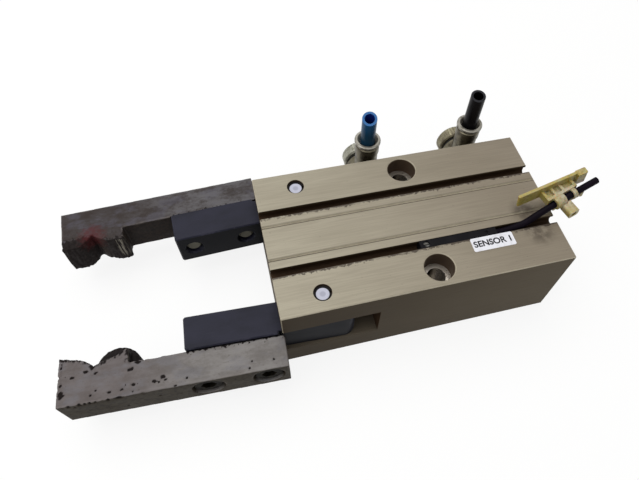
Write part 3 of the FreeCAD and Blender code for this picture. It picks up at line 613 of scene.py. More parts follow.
@dataclass(frozen=True)
class WornSteelFinish(JawFinish):
    """Ground steel with black pits, darkening along its inner edges, painted shade on its flanks and
    creases, and rust patches.
    """

    ground: Colour
    tip_ground: Colour
    rust: Colour
    # Flank colour: painted shade of the side faces.
    shaded_flank: Colour
    pit: Colour = shade(26, 21, 20)
    cool: Colour = shade(102, 101, 106)
    rubbed: Colour = shade(150, 142, 138)
    stain: Colour = shade(72, 24, 26)
    # Painted highlight on the ridges of the tip's inner face.
    stripe_highlight: Colour = shade(150, 144, 132)
    stain_place: Triple = (0.0, 0.0, -100.0)
    stain_size: float = 8.0
    highlight_stripe_place: float = -100.0
    rust_amount: float = 0.4
    crust: float = 0.0
    tip_change: tuple[float, float] = (50.0, 90.0)
    crust_rise: tuple[float, float] = (78.0, 92.0)

    def paint(self) -> None:
        """Lay the ground steel, then rust, the flanks' painted shade, pits, creases and darkening, highlight
        stripes and the stain.
        """
        graph = self.graph
        u, _, _ = graph.spot
        _, _, up = graph.normal
        marks = graph.noise(0.5, (0.05, 1.0, 1.0), 4.0, 0.65)
        clouds = graph.noise(7.0, (0.5, 1.0, 1.0), 5.0, 0.65)
        fine = graph.noise(1.4, (0.8, 1.0, 1.0), 4.0, 0.6)
        cool = graph.noise(5.0, (0.6, 1.0, 1.0), 3.0)
        specks = graph.noise(0.8, (0.6, 1.0, 1.0), 2.0)
        graph.colour = graph.blend(graph.span(u, *self.tip_change), self.ground, self.tip_ground)
        graph.lay(self.rust, graph.between(marks, 0.0, 0.35))
        rusty = graph.span(graph.calc("ADD", clouds, graph.times(fine, 0.4)), 0.6, 0.85)
        graph.lay(self.rust, rusty, self.rust_amount)
        graph.lay(self.cool, graph.span(cool, 0.48, 0.66), 0.4)
        graph.lay(self.rust, graph.span(specks, 0.62, 0.72), 0.35)
        # Painted shade: the flanks and other side faces are laid darker.
        side = graph.blend(graph.span(fine, 0.45, 0.65), self.shaded_flank, self.pit, 0.6)
        graph.lay(side, graph.span(up, 0.8, 0.4))
        rim = graph.times(graph.span(graph.stored("rim"), 0.5, 0.9), graph.span(clouds, 0.45, 0.6))
        graph.lay(self.rubbed, rim, 0.22)
        # Pits, the darkening, and painted shade in the inner corners, all laid in the pit colour.
        dark = graph.most(*(graph.stored(name) for name in ("pit", "crease", "darkening")))
        graph.lay(self.pit, graph.span(dark, 0.12, 0.6))
        # Painted highlight: pale upright stripes on the ridges of the tip's inner face.
        graph.lay(self.stripe_highlight, self.highlight_stripes(), 0.85)
        fray = graph.between(fine, -self.stain_size * 0.5, self.stain_size * 0.5)
        frayed = graph.calc("SUBTRACT", graph.away(self.stain_place), fray)
        stained = graph.span(frayed, self.stain_size * 0.75, self.stain_size * 0.2)
        graph.lay(self.stain, stained, 0.7)
        rough = graph.between(graph.most(dark, clouds), 0.42, 0.85)
        bare = graph.times(graph.left(dark), graph.span(up, 0.4, 0.8))
        metal, shine = graph.between(bare, 0.0, 0.35), graph.between(bare, 0.1, 0.25)
        graph.surface(rough, shine, metal)
        crusty = graph.times(fine, self.crust, graph.span(u, *self.crust_rise))
        grain = graph.calc("ADD", marks, graph.noise(0.3, detail=2.0))
        graph.relief(graph.calc("ADD", grain, crusty), 0.03, 0.5)

    def highlight_stripes(self) -> Value:
        """Find the upright painted highlights on the ridges of the tip's inner face.

        Returns:
            1 on a highlight and 0 beside it.
        """
        graph = self.graph
        u, v, z = graph.spot
        return graph.times(
            graph.span(graph.off(u, self.highlight_stripe_place), 2.6, 1.2),
            graph.span(v, 6.4, 5.2),
            graph.span(z, 15.0, 20.0),
            graph.span(z, 31.2, 30.8),
            graph.span(graph.noise(0.55, (1.0, 1.0, 0.05), 2.0), 0.45, 0.6),
        )


@dataclass(frozen=True)
class BlackenedFinish(JawFinish):
    """Blue-black oxide on steel, a little paler on the edges, with faint greasy patches and painted shade on
    its sides.
    """

    skin: Colour = shade(32, 32, 46)
    # Deep tone: dark patches, and the painted shade of the side faces.
    deep: Colour = shade(16, 17, 22)
    edge: Colour = shade(66, 66, 78)
    polished: Colour = shade(58, 59, 70)

    def paint(self) -> None:
        """Lay the oxide, then the painted shade on its sides, worn edges and scratches."""
        graph = self.graph
        _, _, up = graph.normal
        clouds = graph.noise(8.0, (0.5, 1.0, 1.0), 4.0, 0.6)
        fine = graph.noise(0.4, (0.08, 1.0, 1.0), 3.0, 0.6)
        scratch = graph.noise(0.8, (0.05, 1.6, 1.0), 1.0)
        side = graph.span(up, 0.8, 0.3)
        graph.colour = graph.blend(graph.span(clouds, 0.35, 0.7), self.skin, self.deep, 0.45)
        # Painted shade: the side faces take the deep tone and less shine.
        graph.lay(self.deep, side)
        worn = graph.times(graph.edges(), graph.span(graph.noise(2.5, detail=4.0), 0.45, 0.65))
        graph.lay(self.edge, worn, 0.5)
        graph.lay(self.polished, graph.span(scratch, 0.72, 0.78), 0.25)
        rough, shine = graph.between(clouds, 0.42, 0.58), graph.between(side, 0.14, 0.06)
        graph.surface(rough, shine)
        graph.relief(fine, 0.012, 0.25)


@dataclass(frozen=True)
class ScrewFinish(JawFinish):
    """Blackened socket screws whose thread ends carry painted light."""

    head: Colour = shade(36, 33, 26)
    sunk: Colour = shade(16, 14, 11)
    # Thread ends: painted light.
    tip: Colour = shade(128, 125, 114)
    lit_tip_end: float = 9.0

    def paint(self) -> None:
        """Lay the greasy black and the painted light on the thread ends."""
        graph = self.graph
        _, v, _ = graph.spot
        oil = graph.noise(2.0, detail=4.0)
        graph.colour = graph.blend(graph.span(oil, 0.38, 0.62), self.head, self.sunk)
        # Painted light on the thread ends in the lever holes.
        graph.lay(self.tip, graph.span(v, self.lit_tip_end, self.lit_tip_end - 1.0))
        graph.surface(graph.between(oil, 0.35, 0.55), 0.02)
        graph.relief(graph.noise(0.3, detail=2.0), 0.01, 0.4)


@dataclass(frozen=True)
class PinFinish(Finish):
    """Ground pin face, bluish white as a painted reflection, with a faint centre mark and a dark ring of
    grease and painted shade round it.
    """

    name: str = "pin_steel"
    # Bluish white face: ground steel with a painted reflection of the pale surround.
    face: Colour = shade(196, 197, 212)
    centre: Colour = shade(164, 165, 180)
    # Dark ring: grease and painted shade of the gap round the pin.
    ring: Colour = shade(24, 20, 18)
    axis: tuple[float, float] = (54.0, 29.7)
    face_radius: float = 3.0
    centre_radius: float = 1.3

    def paint(self) -> None:
        """Lay the face with its painted reflection, its centre mark and the dark ring."""
        graph = self.graph
        distance = graph.radius(self.axis)
        marks = graph.noise(0.5, detail=3.0)
        middle = graph.span(distance, self.centre_radius + 0.5, self.centre_radius - 0.5)
        outside = graph.span(distance, self.face_radius - 0.12, self.face_radius)
        # Face laid bluish white: a painted reflection.
        graph.colour = graph.blend(graph.between(marks, 0.0, 0.4), self.face, self.centre)
        graph.lay(self.centre, middle)
        # Grease and painted shade of the gap round the pin.
        graph.lay(self.ring, outside)
        graph.surface(graph.between(marks, 0.35, 0.55), 0.3)
        graph.relief(marks, 0.01, 0.4)


@dataclass(frozen=True)
class MetalFinish(Finish):
    """Machined or plated metal with fine tool marks, smudges and a little dirt."""

    name: str
    tint: Colour
    worn: Colour
    rough: float = 0.25
    metal: float = 1.0
    grain: Grain = Grain.RANDOM
    smudge_size: float = 3.0
    dirt: float = 0.25
    shine: float = 0.5
    soil: Colour = shade(40, 34, 28)

    def paint(self) -> None:
        """Lay the metal, its smudges and the dirt in its tool marks."""
        graph = self.graph
        marks = graph.noise(0.35, self.grain.value, 3.0, 0.6)
        smudges = graph.noise(self.smudge_size, detail=4.0, rough=0.6)
        graph.colour = graph.blend(graph.span(smudges, 0.4, 0.7), self.tint, self.worn)
        graph.lay(self.soil, graph.span(marks, 0.55, 0.75), self.dirt)
        rough = graph.between(smudges, self.rough * 0.7, self.rough * 1.5)
        graph.surface(rough, self.shine, self.metal)
        graph.relief(marks, 0.008, 0.5)


@dataclass(frozen=True)
class MouldedFinish(Finish):
    """Moulded plastic or rubber with a fine grain, dusty patches and light scuffs."""

    name: str
    tint: Colour
    dust: Colour
    rough: float = 0.45
    dusting: float = 0.35
    relief: float = 0.012
    shine: float = 0.5

    def paint(self) -> None:
        """Lay the plastic, its dust and its scuffs."""
        graph = self.graph
        patches = graph.noise(5.0, detail=4.0, rough=0.6)
        scuffs = graph.noise(1.2, (0.15, 1.0, 1.0), 3.0)
        graph.colour = graph.blend(graph.span(patches, 0.4, 0.72), self.tint, self.dust, self.dusting)
        graph.lay(self.dust, graph.span(scuffs, 0.66, 0.74), 0.25)
        rough = graph.between(patches, self.rough * 0.8, self.rough * 1.25)
        graph.surface(rough, self.shine)
        graph.relief(graph.noise(0.25, detail=2.0), self.relief, 0.4)


@dataclass(frozen=True)
class TubeFinish(Finish):
    """Polyurethane air tube, painted lighter towards its top and cut rim, and painted dark inside."""

    name: str
    wall: Colour
    # Painted light towards the top, and painted shade inside the tube.
    lit_upper: Colour
    rim: Colour
    shaded_bore: Colour
    axis: tuple[float, float]
    top: float
    bore_radius: float = 2.6
    shine: float = 0.25

    def paint(self) -> None:
        """Lay the wall with painted light towards the top, the painted shade inside and the cut rim's
        painted light.
        """
        graph = self.graph
        _, _, z = graph.spot
        _, _, up = graph.normal
        distance = graph.radius((self.axis[0], abs(self.axis[1])))
        streaks = graph.noise(0.6, (1.0, 1.0, 0.08), 3.0)
        inside = graph.span(distance, self.bore_radius + 0.1, self.bore_radius)
        # Painted light and shade: the wall grows lighter towards the top and darker towards the bottom.
        graph.colour = graph.blend(graph.span(z, self.top - 12.0, self.top - 1.0), self.wall, self.lit_upper)
        graph.lay(self.wall, graph.between(streaks, 0.0, 0.4))
        # Painted shade inside the tube.
        graph.lay(self.shaded_bore, inside)
        # Painted light on the cut rim where it faces up.
        graph.lay(self.rim, graph.span(up, 0.6, 0.85))
        rough = graph.between(streaks, 0.26, 0.42)
        graph.surface(rough, self.shine)
        graph.relief(streaks, 0.02, 0.3)


@dataclass(frozen=True)
class NylonFinish(Finish):
    """Aged translucent nylon: pale where it grips the cable, yellow outward and amber at its end."""

    name: str = "aged_nylon"
    pale: Colour = shade(184, 172, 142)
    aged: Colour = shade(172, 156, 78)
    burnt: Colour = shade(118, 100, 36)
    amber: Colour = shade(156, 96, 40)
    grip: Triple = (-68.0, 11.5, 57.0)
    end: Triple = (-78.5, 2.0, 57.0)

    def paint(self) -> None:
        """Lay the nylon from its pale grip to its amber end."""
        graph = self.graph
        clouds = graph.noise(4.0, detail=3.0)
        spots = graph.noise(1.6, detail=3.0)
        graph.colour = graph.blend(graph.span(graph.away(self.grip), 3.5, 9.0), self.pale, self.aged)
        graph.lay(self.pale, graph.span(clouds, 0.4, 0.65), 0.45)
        graph.lay(self.burnt, graph.span(spots, 0.5, 0.72), 0.55)
        graph.lay(self.amber, graph.span(graph.away(self.end), 4.0, 1.5))
        graph.surface(graph.between(spots, 0.25, 0.45), 0.35)
        graph.set(Subsurface_Weight=0.3, Subsurface_Scale=1.2 * MM, Transmission_Weight=0.08, IOR=1.53)
        graph.relief(graph.noise(0.7, detail=2.0), 0.02, 0.35)


@dataclass(frozen=True)
class PaperFinish(Finish):
    """White laminated sticker, a little grey in patches."""

    name: str = "label_paper"
    paper: Colour = shade(232, 232, 238)
    dirt: Colour = shade(168, 164, 164)

    def paint(self) -> None:
        """Lay the paper and its grey patches."""
        graph = self.graph
        fibres = graph.noise(0.25, detail=2.0)
        clouds = graph.span(graph.noise(3.0, detail=4.0), 0.45, 0.75)
        graph.colour = graph.blend(clouds, self.paper, self.dirt, 0.4)
        graph.surface(graph.between(fibres, 0.3, 0.5))
        graph.relief(fibres, 0.01, 0.2)


@dataclass(frozen=True)
class FloorFinish(Finish):
    """Pale floor that shows white to the viewer and keeps the object's shadow."""

    name: str = "studio_floor"
    tone: Colour = shade(186, 186, 184)
    cloud: Colour = shade(170, 170, 170)
    glow: float = 0.72
    strength: float = 1.2

    def paint(self) -> None:
        """Lay the pale tone and mix it with a glow that only some rays meet."""
        graph = self.graph
        graph.colour = graph.blend(graph.noise(180.0, detail=2.0), self.tone, self.cloud, 0.08)
        graph.surface(0.85)
        glow = graph.wired("ShaderNodeEmission", 0, {"Strength": self.strength})
        seen = graph.times(graph.white_rays(), self.glow)
        mixed = graph.wired("ShaderNodeMixShader", 0, {0: seen, 1: graph.shader.outputs[0], 2: glow})
        graph.link(graph.output.inputs["Surface"], mixed)


CLEAR_ALUMINIUM = MetalFinish(
    "clear_aluminium", shade(164, 162, 156), shade(148, 145, 138), 0.4, 0.5, smudge_size=9.0, dirt=0.1,
)
SPRING_STEEL = MetalFinish("spring_steel", shade(96, 94, 92), shade(60, 56, 52), 0.35)
CLIP_STEEL = MetalFinish("clip_steel", shade(30, 28, 28), shade(18, 17, 17), 0.5, 0.1, shine=0.15)
SWITCH_SCREW_STEEL = MetalFinish(
    "switch_screw_steel", shade(92, 90, 86), shade(40, 38, 36), 0.4, 0.6, dirt=0.4,
)
CHROME_ROD = MetalFinish(
    "chrome_rod", shade(156, 157, 160), shade(140, 141, 144), 0.25, 0.8, Grain.LENGTHWISE,
    smudge_size=8.0, dirt=0.08,
)
BRONZE = MetalFinish("bush_bronze", shade(176, 130, 74), shade(132, 92, 52), 0.35)
STEM_METAL = MetalFinish(
    "stem_metal", shade(136, 132, 112), shade(96, 90, 72), 0.3, 0.8, smudge_size=4.0, dirt=0.4,
)
ELBOW_METAL = MetalFinish(
    "elbow_metal", shade(110, 104, 86), shade(58, 51, 41), 0.3, 0.75, smudge_size=4.0, dirt=0.5,
)
CAP_METAL = MetalFinish(
    "cap_metal", shade(158, 157, 144), shade(120, 118, 102), 0.36, 0.5,
    smudge_size=4.0, dirt=0.3, shine=0.35,
)
WORN_CAP_METAL = MetalFinish(
    "worn_cap_metal", shade(136, 130, 106), shade(98, 90, 74), 0.38, 0.5, dirt=0.45, shine=0.3,
)
COLLAR_METAL = MetalFinish(
    "collar_metal", shade(156, 152, 142), shade(104, 100, 88), 0.3, 0.6, dirt=0.35, shine=0.35,
)
COPPER = MetalFinish("bare_copper", shade(184, 112, 74), shade(140, 84, 56), 0.35)
RUBBER = MouldedFinish("black_rubber", shade(22, 22, 24), shade(56, 54, 52), 0.6, shine=0.2)
GUIDE_PLASTIC = MouldedFinish("guide_plastic", shade(54, 50, 48), shade(96, 92, 88), 0.5)
MAGNET = MouldedFinish("magnet_black", shade(38, 36, 38), shade(80, 78, 78), 0.5)
BUMPER = MouldedFinish("bumper_plastic", shade(150, 96, 44), shade(190, 150, 100))
SWITCH_CASE = MouldedFinish(
    "switch_case", shade(16, 15, 18), shade(34, 32, 34), 0.5, dusting=0.3, shine=0.06,
)
CABLE_JACKET = MouldedFinish(
    "cable_jacket", shade(15, 10, 17), shade(28, 22, 32), 0.5, dusting=0.3, relief=0.02, shine=0.04,
)
CABLE_FILLER = MouldedFinish("cable_filler", shade(92, 92, 94), shade(60, 60, 62), 0.6, shine=0.2)
INK = MouldedFinish("label_ink", shade(20, 20, 24), shade(50, 50, 56), 0.5, shine=0.2)


@dataclass
class Housing:
    """The body block with the pieces that stay in it."""

    finishes: dict[str, Finish] = field(default_factory=lambda: {
        "body": AnodisedFinish(),
        "rod_bush": BRONZE,
        "rod_seal": RUBBER,
        "rear_cover": CLEAR_ALUMINIUM,
        "cover_seal": RUBBER,
        "cover_clip": SPRING_STEEL,
        "front_bumper": BUMPER,
        "rear_bumper": BUMPER,
        "near_pin": PinFinish(),
        "far_pin": PinFinish(),
        "pin_clips": CLIP_STEEL,
    })

    def build(self) -> None:
        """Dress the body and the pieces in it."""
        dress_nodes(self.finishes)


@dataclass
class PistonUnit:
    """The piston with its rings, nut and rod."""

    finishes: dict[str, Finish] = field(default_factory=lambda: {
        "piston": CLEAR_ALUMINIUM,
        "piston_seal": RUBBER,
        "piston_magnet": MAGNET,
        "guide_ring": GUIDE_PLASTIC,
        "piston_nut": SPRING_STEEL,
        "piston_rod": CHROME_ROD,
    })

    def build(self) -> None:
        """Dress the pieces that move with the piston."""
        dress_nodes(self.finishes)


@dataclass(frozen=True)
class Mark:
    """A pit or chip in the top of a finger, in the jaw's own millimetre axes."""

    u: float
    v: float
    length: float
    width: float

    def depth(self, spot: Vector, fray: float) -> float:
        """Measure how deep the mark is at a place: positive inside its frayed rim, at most about 1."""
        away = math.hypot((spot.x - self.u) / self.length, (spot.y - self.v) / self.width)
        return 1.0 - away + fray


NEAR_MARKS = (
    Mark(112.3, 7.0, 0.7, 0.7), Mark(107.5, 12.0, 1.1, 0.7), Mark(102.4, 10.4, 1.2, 0.7),
    Mark(98.2, 11.6, 0.9, 0.8), Mark(112.0, 14.7, 0.8, 0.7), Mark(111.6, 18.9, 1.6, 2.0),
    Mark(113.3, 11.1, 0.7, 0.9), Mark(100.0, 20.9, 0.7, 0.6), Mark(97.9, 19.4, 0.5, 0.5),
    Mark(84.1, 12.7, 1.7, 0.9), Mark(83.2, 19.7, 1.5, 0.7), Mark(74.6, 19.9, 1.3, 0.7),
    Mark(72.9, 20.7, 0.5, 0.5), Mark(71.2, 18.6, 1.2, 0.8), Mark(70.0, 20.0, 0.8, 0.5),
    Mark(66.4, 23.5, 1.1, 0.5), Mark(61.4, 20.9, 0.6, 0.7), Mark(92.8, 21.1, 0.9, 0.5),
    Mark(88.9, 24.3, 1.4, 0.7), Mark(93.2, 24.4, 0.8, 0.7), Mark(83.3, 22.6, 0.6, 0.5),
    Mark(98.3, 24.4, 0.7, 0.6), Mark(100.3, 24.3, 0.6, 0.7), Mark(102.2, 24.3, 0.6, 0.6),
    Mark(104.4, 24.2, 0.9, 0.7), Mark(108.6, 24.3, 0.8, 0.5), Mark(34.2, 19.0, 0.5, 0.6),
    Mark(24.9, 19.9, 0.7, 0.6), Mark(35.5, 21.9, 0.6, 0.5), Mark(99.8, 8.8, 1.4, 1.2),
    Mark(81.3, 10.0, 1.6, 0.9),
)


@dataclass
class Jaw:
    """One jaw: lever, bush, screws and the worn finger."""

    side: Side
    closed_angle: float = math.radians(2.45)
    voxel: float = 0.4
    top: float = 31.5
    tip_start: float = 84.8
    notch: float = 98.0
    # How far the darkening reaches on the far tip, along the lever and at the tip.
    dark_reach_front: float = 9.4
    dark_reach_rear: float = 5.4
    lever_front: float = 62.5
    lever_side: float = 9.3
    lever_dark_reach: float = 3.5
    tip_dark_reach: float = 1.5
    corner: tuple[float, float] = (110.0, 4.6)
    edge_end: tuple[float, float] = (112.2, 5.0)
    mark_reach: float = 1.6
    pit_depth: float = 0.5
    pit_cell: float = 2.6
    pit_rise: float = 14.0
    fewest_pits: float = 0.01
    edge_wear: float = 0.08
    chip_reach: float = 3.0
    chip_start: float = 55.0
    chip_rise: float = 30.0
    grip_side: float = 8.6

    def placement(self) -> Placement:
        """Find the jaw's own axes from its pivot pin.

        Returns:
            The axes, with X along the finger and Y outwards.
        """
        low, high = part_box("near_pin")
        pivot = (low + high) / 2 / MM
        away = Vector((pivot.x, pivot.y, 0.0))
        away.rotate(Euler((0.0, 0.0, self.closed_angle)))
        return Placement((-away.x, -away.y, 0.0), self.closed_angle, self.side is Side.FAR)

    def finger_finish(self) -> WornSteelFinish:
        """Choose the worn steel for this side.

        Returns:
            The finish.
        """
        # The fourth colour of each finish is the flanks' painted shade.
        if self.side is Side.NEAR:
            return WornSteelFinish(
                "near_worn_steel", self.placement(), shade(122, 119, 117), shade(98, 92, 92),
                shade(76, 68, 62), shade(58, 52, 43), rust_amount=0.3,
            )
        return WornSteelFinish(
            "far_worn_steel", self.placement(), shade(90, 88, 90), shade(56, 51, 51), shade(46, 38, 34),
            shade(46, 38, 33), pit=shade(30, 25, 24), cool=shade(80, 78, 88), stain_size=11.0,
            stain_place=(99.5, 7.8, 30.0), highlight_stripe_place=87.6, rust_amount=0.75, crust=5.0,
        )

    def build(self) -> None:
        """Dress the jaw's pieces and replace its finger by the worn one."""
        prefix = self.side.value
        placement = self.placement()
        dress_nodes({
            "_lever": BlackenedFinish(prefix + "_black_oxide", placement),
            "_bush": BRONZE,
            "_finger_screws": ScrewFinish(prefix + "_screw_steel", placement),
        }, prefix)
        mesh = self.fine_mesh(prefix + "_finger")
        self.wear(mesh, placement)
        piece = fresh_piece(prefix + "_worn_finger", mesh, prefix + "_jaw")
        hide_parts(prefix + "_finger")
        dress(piece, self.finger_finish())

    def fine_mesh(self, node: str) -> bpy.types.Mesh:
        """Copy a node's mesh and divide it into small even faces.

        Args:
            node: The node's name.

        Returns:
            The fine mesh.
        """
        shape = bmesh.new()
        shape.from_mesh(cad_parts[node].data)
        bmesh.ops.remove_doubles(shape, verts=shape.verts, dist=0.001 * MM)
        coarse = bpy.data.meshes.new(node + "_coarse")
        shape.to_mesh(coarse)
        shape.free()
        carrier = put(node + "_carrier", coarse)
        remesh = carrier.modifiers.new("even", "REMESH")
        remesh.mode = "VOXEL"
        remesh.voxel_size = self.voxel * MM
        remesh.use_smooth_shade = True
        ready = carrier.evaluated_get(bpy.context.evaluated_depsgraph_get())
        fine = bpy.data.meshes.new_from_object(ready)
        fine.name = node + "_fine"
        bpy.data.objects.remove(carrier)
        bpy.data.meshes.remove(coarse)
        return fine

    def wear(self, mesh: bpy.types.Mesh, placement: Placement) -> None:
        """Sink pits into the mesh, chip its edges and store where pits, rims, creases and the darkening are.

        Args:
            mesh: The finger's fine mesh.
            placement: The jaw's own axes.
        """
        places = [vertex.co.copy() for vertex in mesh.vertices]
        normals = [vertex.normal.copy() for vertex in mesh.vertices]
        rim, crease = self.sharpness(mesh)
        pits = np.zeros(len(places))
        darkening = np.zeros(len(places))
        for index, place in enumerate(places):
            spot = placement.local(place)
            pits[index] = max(self.marked(spot), self.pitted(spot))
            darkening[index] = self.darkening_at(spot, rim[index])
            sink = self.pit_depth * min(1.0, pits[index]) + self.chip(spot, rim[index])
            rough = noise.noise(spot / 5.0) * 0.03
            mesh.vertices[index].co = place - normals[index] * ((sink + rough + self.ridge(spot)) * MM)
        for name, values in (("pit", pits), ("rim", rim), ("crease", crease), ("darkening", darkening)):
            stored = mesh.attributes.new(name, "FLOAT", "POINT")
            stored.data.foreach_set("value", np.asarray(values, np.float32))
        mesh.update()

    def sharpness(self, mesh: bpy.types.Mesh) -> tuple[np.ndarray, np.ndarray]:
        """Measure how close each point lies to an outer edge and to an inner corner.

        Args:
            mesh: The fine mesh.

        Returns:
            Two arrays from 0 to 1, for outer edges and for inner corners.
        """
        place = np.array([vertex.co for vertex in mesh.vertices])
        normal = np.array([vertex.normal for vertex in mesh.vertices])
        pairs = np.empty(len(mesh.edges) * 2, np.int64)
        mesh.edges.foreach_get("vertices", pairs)
        first, second = pairs[0::2], pairs[1::2]
        turn = 1.0 - np.einsum("ij,ij->i", normal[first], normal[second])
        bulge = np.einsum("ij,ij->i", place[second] - place[first], normal[second] - normal[first])
        results = []
        for sign in (1, -1):
            mark = np.zeros(len(place))
            hit = np.where(bulge * sign > 0, np.clip(turn / 0.18, 0, 1), 0)
            np.maximum.at(mark, first, hit)
            np.maximum.at(mark, second, hit)
            for _ in range(3):
                wider = mark.copy()
                np.maximum.at(wider, first, mark[second] * 0.72)
                np.maximum.at(wider, second, mark[first] * 0.72)
                mark = wider
            results.append(mark)
        return results[0], results[1]

    def marked(self, spot: Vector) -> float:
        """Measure how deep one of the near finger's own marks is at a place.

        Args:
            spot: Place in the jaw's axes, in millimetres.

        Returns:
            Depth from 0 to 1.
        """
        if self.side is Side.FAR or spot.z < self.top - self.mark_reach:
            return 0.0
        fray = 0.55 * noise.noise(spot * 1.1)
        return share(max(mark.depth(spot, fray) for mark in NEAR_MARKS) * 2.2)

    def pitted(self, spot: Vector) -> float:
        """Measure how deep the scattered small pits are at a place.

        Most cells that hold a pit are at the near finger's front end.

        Args:
            spot: Place in the jaw's axes, in millimetres.

        Returns:
            Depth from 0 to 1.
        """
        shift = Vector((noise.noise(spot * 0.9), noise.noise(spot * 0.9 + Vector((7, 0, 0))), 0.0))
        distances, points = noise.voronoi((spot + shift * 0.6) / self.pit_cell)
        chance = abs(noise.cell(points[0] * 13.7 + Vector((3.1, 1.7, 0.3)))) % 1.0
        most = 0.16 if self.side is Side.NEAR else 0.03
        if chance > self.fewest_pits + most * share((spot.x - self.lever_front) / self.pit_rise):
            return 0.0
        size = 0.13 + 0.12 * (abs(noise.cell(points[0] * 5.3)) % 1.0)
        return share((1.0 - distances[0] / size) * 1.6)

    def darkening_at(self, spot: Vector, rim: float) -> float:
        """Give the darkening on the inner edges and faces of the tip and along the lever; below the top it
        is painted shade.

        Args:
            spot: Place in the jaw's axes, in millimetres.
            rim: How close the place is to an outer edge, from 0 to 1.

        Returns:
            How dark the place is laid, from 0 to 1.
        """
        speckle = noise.fractal(spot * 0.8, 0.7, 2.0, 4)
        past = spot.y - self.lever_side
        if spot.x < self.lever_front:
            return share((0.5 + 2.4 * max(0.0, speckle) - past) * 1.3) if past < self.lever_dark_reach else 0.0
        if past > self.tip_dark_reach:
            return 0.0
        return self.near_darkening(spot, rim, speckle) if self.side is Side.NEAR else self.far_darkening(spot, speckle)

    def near_darkening(self, spot: Vector, rim: float, speckle: float) -> float:
        """Give the near tip's darkening: painted shade below its top, and dark at its corner and along its
        edge.

        Args:
            spot: Place in the jaw's axes, in millimetres.
            rim: How close the place is to an outer edge, from 0 to 1.
            speckle: Noise that breaks the darkening up.

        Returns:
            How dark the place is laid.
        """
        # Painted shade on the tip's faces below the top; the corner and inner edge are darkened.
        below = share(self.top - 1.0 - spot.z) if spot.x > self.tip_start - 4.5 else 0.0
        corner = 0.9 if spot.x > self.corner[0] and spot.y < self.corner[1] + speckle else 0.0
        inner = spot.x > self.tip_start + 0.5 and (spot.x < self.edge_end[0] or spot.y < self.edge_end[1])
        edge = share(rim * 1.2) * (0.5 + speckle) if inner else 0.0
        return max(below * (0.75 + 0.3 * speckle), corner, edge)

    def far_darkening(self, spot: Vector, speckle: float) -> float:
        """Give the far tip's darkening, wider in front of its notch, with painted shade below the top.

        Args:
            spot: Place in the jaw's axes, in millimetres.
            speckle: Noise that breaks the darkening up.

        Returns:
            How dark the place is laid.
        """
        # Behind the tip: painted shade on the faces below the top.
        if spot.x < self.tip_start:
            return 0.35 + 0.3 * speckle if spot.z < self.top - 0.6 else 0.0
        inside = (self.dark_reach_front if spot.x > self.notch else self.dark_reach_rear) - spot.y
        # On the top: darkening that reaches in from the inner side.
        if spot.z > self.top - 0.5:
            return min(0.85, max(0.0, (inside - 0.6 + 2.4 * speckle) * 0.4))
        # Inner faces below the top: partly stain, partly painted shade.
        return share((inside + 1.2 * speckle) * 0.7) * (0.72 + 0.5 * speckle)

    def chip(self, spot: Vector, rim: float) -> float:
        """Give how much of an edge is broken away.

        Args:
            spot: Place in the jaw's axes, in millimetres.
            rim: How close the place is to an outer edge, from 0 to 1.

        Returns:
            The depth of the chip, in millimetres.
        """
        if spot.z < self.top - self.chip_reach or self.side is Side.FAR:
            return self.edge_wear * rim
        broken = max(0.0, noise.fractal(spot / 2.0, 0.6, 2.0, 3) - 0.12)
        ahead = min(1.0, max(0.1, (spot.x - self.chip_start) / self.chip_rise))
        return rim * (self.edge_wear + 0.55 * broken * ahead)

    def ridge(self, spot: Vector) -> float:
        """Give the upright ridges that wear has left on the gripping tip.

        Args:
            spot: Place in the jaw's axes, in millimetres.

        Returns:
            The depth at the place, in millimetres.
        """
        if spot.x < self.tip_start - 0.8 or spot.y > self.grip_side:
            return 0.0
        height = 0.24 if self.side is Side.NEAR else 0.5
        return height * noise.noise(Vector((spot.x * 0.8, spot.y * 0.8, spot.z * 0.12)))


@dataclass
class PortFitting:
    """One swivel fitting with its release collar and the tube left in it."""

    port: Port

    def tube_finish(self) -> TubeFinish:
        """Choose the tube's colours for this port.

        Returns:
            The finish.
        """
        low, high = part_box(self.port.value + "_tube")
        middle = (low + high) / 2 / MM
        tube = partial(TubeFinish, axis=(middle.x, middle.y), top=high.z / MM)
        if self.port is Port.FRONT:
            tints = (shade(16, 56, 80), shade(10, 78, 126), shade(18, 92, 152), shade(6, 34, 112))
            return tube("blue_air_tube", *tints)
        tints = (shade(13, 12, 14), shade(20, 19, 22), shade(32, 32, 36), shade(6, 6, 8))
        return tube("black_air_tube", *tints, shine=0.12)

    def build(self) -> None:
        """Dress the fitting's pieces."""
        dress_nodes({
            "_port_washer": RUBBER,
            "_port_stem": STEM_METAL,
            "_elbow": ELBOW_METAL,
            "_collar": COLLAR_METAL,
            "_cap_washer": RUBBER,
            "_port_cap": CAP_METAL if self.port is Port.FRONT else WORN_CAP_METAL,
            "_tube": self.tube_finish(),
        }, self.port.value)


